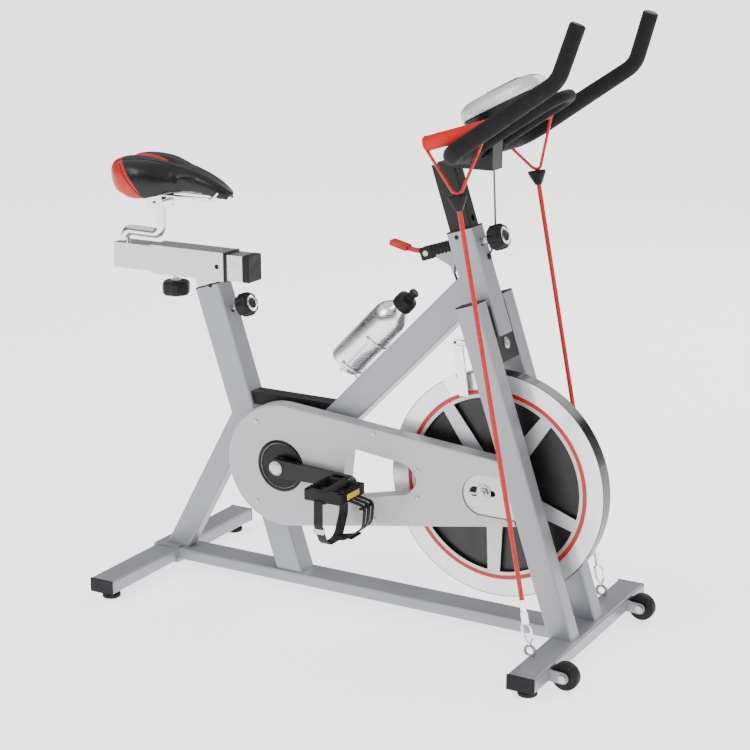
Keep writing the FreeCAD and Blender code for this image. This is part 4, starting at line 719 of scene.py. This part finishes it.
def build_console():
    """A silver domed shell on a black base, with a framed display and a round key."""
    tilt = slanted(CONSOLE_TILT)
    place = axes(from_bar(44, 0, 70), tilt.cross(SIDE), tilt)
    base = [console_ring(0, -10), console_ring(2, -2), console_ring(12, 2), console_ring(14, 1)]
    shell = [console_ring(14, 0), console_ring(20, 3), console_ring(30, 1), console_ring(38, -6),
             console_ring(43, -16), console_ring(45, -28)]
    layers = (("console_base", base, SMOOTH_BLACK), ("console_shell", shell, SILVER_SHELL))
    for name, rings, material in layers:
        piece = loft(name, [[place @ point for point in ring] for ring in rings], material, 30)
        finish_piece(soften(piece, 0.6 * MM, 2, 40), "handlebar")
    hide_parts("console")
    screen_place = shifted(place, 14, 0, 44.2)
    bezel = rounded_block("console_bezel", screen_place, (72, 38, 2.2), 7, SMOOTH_BLACK)
    glass_place = shifted(screen_place, 0, 0, 1.9)
    glass = rounded_block("console_display", glass_place, (60, 28, 0.9), 4, SCREEN, edge=0.3)
    for piece in (bezel, glass):
        finish_piece(piece, "handlebar")
    button_place = node_frame("console_button", "console_button_press")
    cap = [(0, -3), (5.5, -3), (7.8, -2.2), (8.8, -0.6), (8.8, 3), (0, 3)]
    turned("console_key", button_place, cap, RED, 40, "console_button", "console_button")
    for x, y in ((28, -44), (28, 44), (83, -44), (83, 44)):
        foot = place @ mm(x - 44, y * 0.86, 4)
        leg_name = f"console_leg_{x}_{'r' if y < 0 else 'l'}"
        stalk = tube(leg_name, [from_bar(x, y, 0.66 * x), foot], 6 * MM, BLACK, 16)
        finish_piece(stalk, "handlebar")


# -------- knobs
KNOB_RING = [(11, 30.4), (11, 32.2), (12, 32.8), (15, 32.4), (16.4, 31.4), (16.4, 30.4), (11, 30.4)]
KNOB_STEM = [(0, -33), (5.6, -33), (6, -31), (6, -13), (9, -12), (9, -2), (14, 0), (14, 1), (0, 1)]


def knob_head(name, place, radius, length, lobes=8):
    """A moulded knob: lobed rim and a flat face with a rounded edge."""
    heights = [(0, 0.72), (1.5, 0.86), (5, 0.98), (length * 0.55, 1.0), (length - 4, 0.97),
               (length - 1, 0.88), (length, 0.78)]
    rings = []
    for height, share in heights:
        ring = []
        for step in range(96):
            angle = 2 * pi * step / 96
            reach = radius * share * (1 - 0.055 * (0.5 - 0.5 * cos(lobes * angle)) ** 2 * 2)
            ring.append(place @ (Vector((reach * cos(angle), reach * sin(angle), height)) * MM))
        rings.append(ring)
    return soften(loft(name, rings, BLACK, 40), 0.5 * MM, 2)


def build_knobs():
    """Two spring pins on the front of the tubes, and the clamp screw under the seat slide."""
    for node, joint in (("seat_knob", "seat_pin_pull"), ("post_knob", "post_pin_pull")):
        axis = axis_of(joint)
        middle = node_frame(node, joint).translation
        far = middle + axis * 33.15 * MM
        place = axes(far - axis * 32 * MM, axis, SIDE)
        head = knob_head(node + "_head", place, 25, 31)
        face = lathe(node + "_ring", place, KNOB_RING, CHROME, 48)
        stem = lathe(node + "_stem", place, KNOB_STEM, STEEL, 32)
        finish_piece(join(node + "_piece", [head, face, stem]), node, node)
    low, high = box_of("slider_knob")
    centre = (low + high) / 2
    place = axes((centre.x, centre.y, low.z + 32 * MM), -UP)
    head = knob_head("slider_head", place, 30, 31, 6)
    profile = [(0, -18), (5.8, -18), (5.8, -4), (11, -3), (11, 1), (0, 1)]
    stem = lathe("slider_stem", place, profile, STEEL, 32)
    finish_piece(join("slider_knob_piece", [head, stem]), "slider_knob", "slider_knob")


# -------- pedals
TOE_CLIP = ((44.6, -8), (78, -14), (74, -58), (36, -88), (-6, -98))    # ahead of and above the pedal's axis


def build_pedal(word, side):
    """A resin pedal: barrel, rails with grip teeth, side reflectors, toe clip and strap."""
    joint = JOINTS[f"pedal_{word}_spin"]
    low, high = box_of(f"pedal_{word}")
    centre = Vector((joint["pos_m"][0], (low.y + high.y) / 2, joint["pos_m"][2]))
    width = (high.y - low.y) / MM
    place = axes(centre, UP)
    body = []

    def bar(x, y, z, size, radius, material=BLACK):
        spot = shifted(place, x, y, z)
        body.append(rounded_block("pedal_bar", spot, size, radius, material, 4, 0.8))

    for way in (-1, 1):
        bar(way * 38, 0, -11, (9, width, 22), 3)
        bar(0, way * (width / 2 - 6), -11, (82, 12, 22), 4)
        for index in range(7):
            bar(way * 38, (index - 3) * 11.5, 10.6, (5.5, 5, 2.6), 1)
    barrel = [(6.2, 0), (14, 0), (15, 1), (13, 20), (12, width / 2), (13, width - 22), (15, width - 3),
              (14, width - 2), (6.2, width - 2)]
    body.append(lathe("pedal_barrel", axes(centre - SIDE * (width / 2 - 1) * MM, SIDE), barrel, BLACK, 32))
    bar(19, 0, -3, (32, 7, 6), 2)
    bar(-19, 0, -3, (32, 7, 6), 2)
    for way in (-1, 1):
        bar(way * 42.4, 0, -6, (1.6, 46, 12), 0.7, REFLECTOR)
    finish_piece(join(f"pedal_{word}_body", body), f"pedal_{word}", f"pedal_{word}", slot="pedal_plastic")

    clip = [centre + mm(x, 0, z) for x, z in TOE_CLIP]
    pieces = []
    for shift in (-16, 0, 16):
        line = [point + SIDE * shift * MM for point in bent(clip, [12 * MM, 22 * MM, 22 * MM], 8)]
        pieces.append(strip("clip_rib", line, SIDE, (9 if shift else 11) * MM, 3 * MM, BLACK))
    for spot in (clip[1] + mm(-8, 0, -8), clip[3] + mm(10, 0, 2)):
        pieces.append(rounded_block("clip_bridge", axes(spot, UP), (9, 40, 3), 2, BLACK, 4, 0.6))
    reach = width / 2 + 1.8
    loop = ((-reach, -8), (-reach - 1, -60), (-reach + 22, -106), (reach - 22, -106), (reach + 1, -60),
            (reach, -8))
    strap = [centre + mm(-8, y, z) for y, z in loop]
    line = bent(strap, [30 * MM, 26 * MM, 26 * MM, 30 * MM], 8)
    pieces.append(strip("pedal_strap", line, FORWARD, 20 * MM, 2.2 * MM, RUBBER))
    buckle = axes(strap[1].lerp(strap[2], 0.2) if side < 0 else strap[4].lerp(strap[3], 0.2), SIDE * side)
    pieces.append(rounded_block("strap_buckle", buckle, (24, 16, 2.4), 3, STEEL, 4, 0.6))
    finish_piece(join(f"toe_cage_{word}_piece", pieces), f"pedal_{word}", f"toe_cage_{word}")


def build_cranks():
    """Dust caps and pedal washers on the crank arms."""
    for word, side in RIDER_SIDES:
        face = side * 89.5 * MM
        pedal_at = pivot_of(f"pedal_{word}_spin")
        for name, at, radius in (("crank_cap", CRANK, 15), ("pedal_washer", pedal_at, 11)):
            place = axes((at.x, face, at.z), SIDE * side)
            profile = [(0, 2.2), (radius - 5, 2.2), (radius - 3, 1.4), (radius - 1, 2.2), (radius, 1.2),
                       (radius, -0.4), (0, -0.4)]
            if name == "pedal_washer":
                profile = [(6.1, 0), (radius, 0), (radius, 1.6), (radius - 0.6, 2.2), (6.1, 2.2)]
            turned(f"{name}_{word}", place, profile, STEEL, 36, "crank")
        inner = axes((CRANK.x, side * 76.5 * MM, CRANK.z), -SIDE * side)
        boss = [(8.6, 0), (20, 0), (21, 1), (19, 12), (12, 24), (8.6, 24)]
        turned(f"crank_boss_{word}", inner, boss, BLACK_PAINT, 40, "crank")


# -------- drive side details
def build_axle_ends():
    """Washer, slot end and adjuster rod at each end of the flywheel axle."""
    for word, side in RIDER_SIDES:
        plane = side * 66 * MM
        place = axes((AXLE.x, plane, AXLE.z), SIDE * side)
        washer = [(6.2, 0), (15, 0), (15.6, 0.6), (15.6, 2), (15, 2.6), (6.2, 2.6)]
        turned(f"axle_washer_{word}", place, washer, STEEL, 40, "frame")
        slot_place = axes((AXLE.x - 20 * MM, plane, AXLE.z), SIDE * side)
        slot_end = [(0, 0), (9, 0), (10, 0.7), (8.6, 1.4), (0, 1.4)]
        turned(f"axle_slot_end_{word}", slot_place, slot_end, BLACK, 32, "frame")
        line = [Vector((AXLE.x - 34 * MM, plane + side * 4 * MM, AXLE.z - 3 * MM)),
                Vector((AXLE.x - 12 * MM, plane + side * 4 * MM, AXLE.z - 3 * MM))]
        finish_piece(tube(f"axle_adjuster_{word}", line, 2.4 * MM, STEEL, 12), "frame")


def build_guard_trim():
    """A raised lip round the crank opening and a dished cover over the chainring bolts."""
    place = axes((CRANK.x, -70 * MM, CRANK.z), -SIDE)
    ring = [(47.6, -2.5), (47.6, 1.0), (49, 2.4), (52, 2.4), (54.5, 0.4), (54.5, -1)]
    turned("guard_lip", place, ring + ring[:1], SMOOTH_BLACK, 72, "frame", smooth_angle=40)
    spider = axes((CRANK.x, -50.5 * MM, CRANK.z), -SIDE)
    cover = [(9, 0), (44, 0), (45, 1.5), (38, 6), (20, 9), (9, 9)]
    turned("spider_cover", spider, cover, BLACK, 64, "crank")


# -------- resistance bands
def spline_line(points):
    """Points along the smooth spline whose control points are the route's points."""
    curve = bpy.data.curves.new("route", "CURVE")
    curve.dimensions = "3D"
    curve.resolution_u = 12
    spline = curve.splines.new("NURBS")
    spline.points.add(len(points) - 1)
    for control, point in zip(spline.points, points):
        control.co = (*point, 1)
    spline.order_u = 3
    spline.use_endpoint_u = True
    holder = bpy.data.objects.new("route", curve)
    bpy.context.collection.objects.link(holder)
    mesh = bpy.data.meshes.new_from_object(holder.evaluated_get(bpy.context.evaluated_depsgraph_get()))
    line = [vertex.co.copy() for vertex in mesh.vertices]
    bpy.data.objects.remove(holder)
    bpy.data.meshes.remove(mesh)
    bpy.data.curves.remove(curve)
    return line


def build_band(word, side):
    """One elastic band: clip and ferrule on the frame, tube, yoke, strap and foam handle."""
    stabilizer = box_of("front_stabilizer")
    anchor = Vector(((stabilizer[0].x + stabilizer[1].x) / 2 - 27 * MM, side * 172 * MM, DECK + 17 * MM))
    yoke_low = from_bar(31, side * 170, -92)
    up = (yoke_low - anchor).normalized()
    foot = anchor + up * CLIP_LENGTH
    middle = foot.lerp(yoke_low, 0.5)
    lower = spline_line([foot, foot.lerp(middle, 0.5), middle])
    upper = spline_line([middle, middle.lerp(yoke_low, 0.5), yoke_low + up * 2 * MM])
    lower_piece = tube(f"band_lower_{word}", lower, BAND_RADIUS, BAND_RED, 18)
    upper_piece = tube(f"band_upper_{word}", upper, BAND_RADIUS, BAND_RED, 18)
    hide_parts(f"band_tube_{word}")
    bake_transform(lower_piece)
    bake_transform(upper_piece)
    build_clip(word, anchor, up)
    build_handle(word, side, yoke_low, up)


def build_clip(word, anchor, up):
    """A wire carabiner with its gate, swivel barrel and crimped ferrule."""
    across = up.cross(SIDE).normalized()
    hook = [(0, 3.5), (9, 18), (9.5, 30), (7, 42), (0, 48), (-7, 42), (-9.5, 30), (-9, 18)]
    line = []
    for index in range(len(hook)):
        (x0, z0), (x1, z1) = hook[index], hook[(index + 1) % len(hook)]
        for step in range(4):
            share = step / 4
            line.append(anchor + (across * (x0 + (x1 - x0) * share) + up * (z0 + (z1 - z0) * share)) * MM)
    ring = tube("clip_wire", line, 2.2 * MM, CHROME, 12, cyclic=True)
    modifier(ring, "SMOOTH", factor=0.6, iterations=4)
    gate = tube("clip_gate", [anchor + (across * 6.4 + up * 20) * MM, anchor + (across * 6.4 + up * 40) * MM],
                1.5 * MM, STEEL, 10)
    place = axes(anchor, up)
    barrel = [(0, 46), (4, 46), (6.6, 47.5), (7, 50), (7, 64), (6, 67), (5.4, 68), (5.4, 90), (4.9, 92),
              (0, 92)]
    swivel = lathe("clip_barrel", place, barrel, CHROME, 28)
    finish_piece(join(f"band_clip_{word}", [swivel, ring, gate]), "frame", slot="chrome")


# height, half width and half depth
YOKE_SECTIONS = ((1, 6.4, 6.4), (4, 8, 7.4), (14, 13.4, 8.4), (23, 18, 9), (27, 19, 8.4), (28.6, 17, 6))


def rounded(share):
    """Pushes a circle's coordinate outward, towards a rounded square."""
    return copysign(abs(share) ** 0.8, share)


def build_handle(word, side, yoke_low, up):
    """The moulded yoke, the V of the strap and the foam grip with end caps."""
    body = f"handle_{word}"
    grip_way = slanted(GRIP_TILT)
    grip_low = from_bar(-56, side * 138, 19)
    place = axes(yoke_low, up, FORWARD)
    rings = []
    for height, reach, depth in YOKE_SECTIONS:
        ring = []
        for step in range(32):
            angle = 2 * pi * step / 32
            across, ahead = rounded(cos(angle)) * reach, rounded(sin(angle)) * depth
            ring.append(place @ mm(across, ahead, height))
        rings.append(ring)
    finish_piece(loft(f"band_yoke_{word}", rings, BLACK, 50), body, slot="black_plastic")
    profile = [(0, -1), (9, -1), (13.4, 0.5), (14.6, 3), (14.6, 5), (13.6, 6), (14.0, 9), (14.0, 119),
               (13.6, 122), (14.6, 123), (14.6, 125), (13.4, 127.5), (9, 129), (0, 129)]
    grip = lathe(f"band_grip_{word}", axes(grip_low, grip_way), profile, RED_FOAM, 40)
    finish_piece(grip, body, f"band_handle_{word}", slot="band_red")
    yoke_top = yoke_low + up * 28 * MM
    drop = UP * -2 * MM
    ends = [grip_low - grip_way * 3.2 * MM + drop, grip_low + grip_way * 131.2 * MM + drop]
    turns = [yoke_top + mm(-7, 0, 3.5), yoke_top + mm(7, 0, 3.5)]
    near = [turns[0].lerp(ends[0], 0.16), turns[1].lerp(ends[1], 0.16)]
    line = spline_line([ends[0], near[0], turns[0], turns[1], near[1], ends[1]])
    strap = tube(f"band_strap_line_{word}", line, STRAP_RADIUS, BAND_RED, 14)
    finish_piece(strap, body, f"band_strap_{word}", slot="band_red")


def build_sensor_wire():
    """The pulse lead: straight down from the console's clamp, past the knob and into the head tube."""
    route = [from_bar(10, 12, -42), from_bar(6, 31, -146), from_bar(8, 27, -184),
             HEAD_TOP - HEAD_UP * 62 * MM + HEAD_AHEAD * HEAD_HALF + SIDE * 12 * MM]
    line = spline_line(route)
    wire = tube("sensor_lead", line, LEAD_RADIUS, LEAD_GREY, 12)
    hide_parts("sensor_wire")
    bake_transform(wire)
    gland = axes(route[-1], HEAD_AHEAD)
    grommet = [(2.2, 0), (6, 0), (6.4, 1), (5, 3), (3, 4.6), (2.2, 4.6)]
    turned("lead_grommet", gland, grommet, RUBBER, 24, "frame")


# -------- bottle and cage
def build_bottle():
    """An aluminium bottle with a rolled shoulder, black cap and pull spout."""
    out = axis_of("bottle_lift")
    along = SIDE.cross(out).normalized()
    along = along if along.z > 0 else -along
    low, high = box_of("bottle")
    base = (low + high) / 2 - along * 112 * MM
    place = axes(base, along, -out)
    shell = [(0, 1.5), (27, 1.5), (30, 0), (33, 0.4), (35.4, 2.6), (36, 6), (36, 138), (35, 147), (32, 157),
             (26.5, 166), (21, 173), (18.8, 179), (18.4, 183), (0, 183)]
    cap = [(0, 179), (19.6, 179), (20.8, 180.5), (20.8, 200), (19.4, 203), (14, 205), (10.5, 207), (9.6, 211),
           (8.2, 212), (8.2, 216), (9.8, 217.5), (9.8, 222), (8.4, 224), (0, 224)]
    turned("bottle_shell", place, shell, BOTTLE_METAL, 64, "bottle", "bottle")
    turned("bottle_cap", place, cap, BLACK, 48, "bottle")
    ribs = [lathe("cap_rib", place, [(20.6, z), (21.3, z + 0.6), (21.3, z + 1.6), (20.6, z + 2.2)], BLACK, 48)
            for z in (183, 187, 191, 195)]
    finish_piece(join("bottle_cap_ribs", ribs), "bottle")
    hoop = 39.2 * MM
    rods = []
    for height in (16, 96):
        arc = [place @ Vector((hoop * cos(a), hoop * sin(a), height * MM))
               for a in (radians(-88 + 8 * step) for step in range(23))]
        rods.append(tube("cage_hoop", arc, CAGE_ROD, CHROME, 14))
    for angle in (-72, 72):
        x, y = hoop * cos(radians(angle)), hoop * sin(radians(angle))
        line = [place @ mm(0, 0, -3.4), place @ Vector((x, y, -3.4 * MM)), place @ Vector((x, y, 97 * MM))]
        rods.append(tube("cage_upright", bent(line, [9 * MM], 8), 2.2 * MM, CHROME, 14))
    spine = shifted(place, 41.5, 0, -7)
    rods.append(rounded_block("cage_spine", spine, (4.6, 15, 150), 1.6, CHROME, 4, 0.6))
    line = [place @ mm(0, 0, -3.4), place @ mm(41, 0, -3.4)]
    rods.append(tube("cage_floor", line, 2.2 * MM, CHROME, 14))
    finish_piece(join("bottle_cage_piece", rods), "frame", "bottle_cage")


# -------- brake
def build_brake_mount():
    """Ribbed barrel and fork of the emergency brake, with its welded gusset and cable adjuster."""
    back = -HEAD_AHEAD
    start = HEAD_TOP - HEAD_UP * 25 * MM + back * HEAD_HALF
    place = axes(start, back, HEAD_UP)
    barrel = [(0, 0), (15, 0), (15, 3), (12.4, 4)]
    for rib in range(5):
        low = 8 + rib * 8
        barrel += [(12.4, low), (13.4, low + 1), (13.4, low + 4), (12.4, low + 5)]
    barrel += [(11, 48), (11, 50), (0, 50)]
    pieces = [lathe("mount_barrel", place, barrel, BLACK, 40)]
    for y in (-9.2, 9.2):
        spot = shifted(place, 0, y, 47)
        pieces.append(rounded_block("mount_ear", spot, (26, 5.4, 27), 2, BLACK, 4, 1.2))
    spot = shifted(place, 0, 0, 44)
    pieces.append(rounded_block("mount_bridge", spot, (22, 22, 7), 4, BLACK))
    pivot = axes(LEVER - SIDE * 13 * MM, SIDE)
    bolt = [(0, 0), (5, 0), (5.6, 0.6), (5.6, 2.2), (3, 2.4), (3, 23.6), (5.6, 23.8), (5.6, 25.4), (5, 26),
            (0, 26)]
    pieces.append(lathe("lever_bolt", pivot, bolt, STEEL, 28))
    finish_piece(join("brake_mount_piece", pieces), "frame", "brake_lever_mount", slot="black_plastic")
    rings = []
    for y in (-10, 10):
        corners = ((-6, y, 0), (-34, y, 0), (-36, y, 18), (-13, y, 43), (-6, y, 43))
        rings.append([place @ (Vector(corner) * MM) for corner in corners])
    finish_piece(soften(loft("brake_gusset", rings, PAINT), 1.5 * MM), "frame")
    low, high = place @ mm(-32, 1.6, 15), place @ mm(-50, 10, 24)
    adjuster = [(0, 0), (4.6, 0), (4.6, 8), (6, 8.6), (6, 13), (5, 14), (5, 19), (3.4, 21.6), (0, 21.6)]
    turned("cable_adjuster", axes(low, high - low), adjuster, STEEL, 24, "frame")


# -------- small trim
def cap_screw(name, point, normal, radius, body, material):
    """A domed socket screw, sunk into a surface."""
    profile = [(0, 0.5), (radius * 0.45, 0.5), (radius * 0.5, 1.4), (radius * 0.85, 1.2), (radius, 0.4),
               (radius, -0.6), (0, -0.6)]
    turned(name, axes(point, normal), profile, material, 24, body)


def build_trim():
    """Collars and end caps of the seat slide, and the small screws near the tube tops."""
    seat_low, seat_high = box_of("seat_tube")
    slide_low, slide_high = box_of("slider_tube")
    sleeve_front = slide_high.x - 58 * MM
    middle = (slide_low.z + slide_high.z) / 2
    half = Vector((0, (slide_high.y - slide_low.y) / 2, (slide_high.z - slide_low.z) / 2))
    collar_place = axes((sleeve_front, 0, middle), FORWARD, UP)
    finish_piece(frame_ring("sleeve_collar", collar_place, half.z / MM + 4.4, half.y / MM + 4.4, 5), "seat")
    cap_place = axes((slide_high.x - 14 * MM, 0, middle), FORWARD, UP)
    cap_size = (2 * half.z / MM + 2.4, 2 * half.y / MM + 2.4, 16)
    finish_piece(rounded_block("slider_cap", cap_place, cap_size, 4, BLACK, 5, 2), "slider")
    side_y = -half.y - 3.4 * MM
    sleeve_screw = Vector((sleeve_front - 16 * MM, side_y, middle))
    cap_screw("sleeve_screw", sleeve_screw, -SIDE, 5, "seat", SMOOTH_BLACK)
    screws = (("seat_screw", Vector((seat_low.x, 0, seat_high.z)) + SEAT_AHEAD * 34 * MM - SEAT_UP * 18 * MM),
              ("head_screw", HEAD_TOP + HEAD_AHEAD * -8 * MM - HEAD_UP * 10 * MM))
    for name, spot in screws:
        cap_screw(name, Vector((spot.x, -25 * MM, spot.z)), -SIDE, 4.4, "frame", SMOOTH_BLACK)
    crown_bolt = HEAD_TOP - HEAD_UP * 228 * MM + HEAD_AHEAD * 21.5 * MM
    cap_screw("crown_bolt", crown_bolt, HEAD_AHEAD, 11, "frame", STEEL)


def frame_ring(name, place, half_x, half_y, thick, lip=4.2):
    """A thin rectangular collar, open in the middle."""
    rings = []
    for reach, height in ((0, 0), (0, thick), (-lip, thick), (-lip, 0)):
        rings.append([place @ (Vector((sx * (half_x + reach), sy * (half_y + reach), height)) * MM)
                      for sx, sy in ((1, 1), (-1, 1), (-1, -1), (1, -1))])
    return soften(loft(name, rings, SMOOTH_BLACK, wrap=True), 1.2 * MM)


# -------- transport wheels
def build_wheels():
    """Rubber-tyred rollers with a moulded hub."""
    for word, _ in RIDER_SIDES:
        centre = pivot_of(f"wheel_{word}_spin")
        place = axes(centre - SIDE * 12 * MM, SIDE)
        tyre = [(22, 3), (25, 3), (26.6, 4.6), (27, 8), (27, 16), (26.6, 19.4), (25, 21), (22, 21)]
        hub = [(4.1, 0), (9.5, 0), (9.5, 3.4), (12, 5.4), (19, 5.4), (22.2, 4), (22.2, 20), (19, 18.6),
               (12, 18.6), (9.5, 20.6), (9.5, 24), (4.1, 24)]
        rim = lathe("roller_hub", place, hub + hub[:1], BLACK, 48)
        rolling = lathe("roller_tyre", place, tyre + tyre[:1], RUBBER, 56)
        finish_piece(join(f"roller_{word}", [rolling, rim]), f"wheel_{word}", f"wheel_{word}")


# -------- stage
def floor_finish():
    """A matt white sweep with an even, barely varying tone."""
    floor = Shader("floor_paint", (0.93, 0.93, 0.93), 0.85, specular=0.1)
    floor.color(floor.mottle(floor.noise(1.5, 2), (0.92, 0.92, 0.92), (0.94, 0.94, 0.94)))
    floor.surface.inputs["Emission Color"].default_value = (1, 1, 1, 1)
    floor.surface.inputs["Emission Strength"].default_value = 1.6
    return floor.material


def studio_sky():
    """Soft light with a darker band part way up, so that bright metal has something to reflect."""
    world = bpy.data.worlds.new("studio")
    world.use_nodes = True
    nodes, links = world.node_tree.nodes, world.node_tree.links
    height = nodes.new("ShaderNodeSeparateXYZ")
    links.new(nodes.new("ShaderNodeTexCoord").outputs["Generated"], height.inputs[0])
    ramp = nodes.new("ShaderNodeValToRGB")
    stops = ((0.0, 0.62), (0.12, 0.60), (0.24, 0.12), (0.42, 0.16), (0.60, 1.0))
    while len(ramp.color_ramp.elements) < len(stops):
        ramp.color_ramp.elements.new(0.5)
    for element, (place, tone) in zip(ramp.color_ramp.elements, stops):
        element.position = place
        element.color = (tone, tone, tone, 1)
    links.new(height.outputs[2], ramp.inputs[0])
    links.new(ramp.outputs[0], nodes["Background"].inputs["Color"])
    nodes["Background"].inputs["Strength"].default_value = 1.15
    bpy.context.scene.world = world


def build_stage():
    """A pale floor and soft lights."""
    floor_mesh = bmesh.new()
    bmesh.ops.create_grid(floor_mesh, x_segments=1, y_segments=1, size=30)
    floor = from_bmesh("floor", floor_mesh, floor_finish())
    studio_sky()
    lights = (("key", (-1.6, -3.2, 3.4), 2.2, 90), ("fill", (3.6, -1.6, 2.2), 2.6, 55),
              ("back", (0.6, 3.4, 2.8), 2.4, 60))
    for name, place, size, power in lights:
        data = bpy.data.lights.new(name, "AREA")
        data.size = size
        data.energy = power
        lamp = bpy.data.objects.new(name, data)
        bpy.context.collection.objects.link(lamp)
        lamp.matrix_world = axes(place, Vector(place) - Vector((0, 0, 0.5)))


def build_camera():
    data = bpy.data.cameras.new("camera")
    data.lens = 87.05
    data.sensor_width = 36
    data.clip_end = 60
    camera = bpy.data.objects.new("camera", data)
    camera.location = (1.7555, -3.0318, 1.4335)
    camera.rotation_euler = (radians(74.839), 0, radians(29.474))
    bpy.context.collection.objects.link(camera)
    bpy.context.scene.camera = camera


build_camera()
dress_cad_nodes()
for side_word, side_sign in RIDER_SIDES:
    build_band(side_word, side_sign)
build_sensor_wire()
build_saddle()
build_handlebar()
build_console()
build_knobs()
for side_word, side_sign in RIDER_SIDES:
    build_pedal(side_word, side_sign)
build_cranks()
build_axle_ends()
build_guard_trim()
build_bottle()
build_brake_mount()
build_trim()
build_wheels()
build_stage()
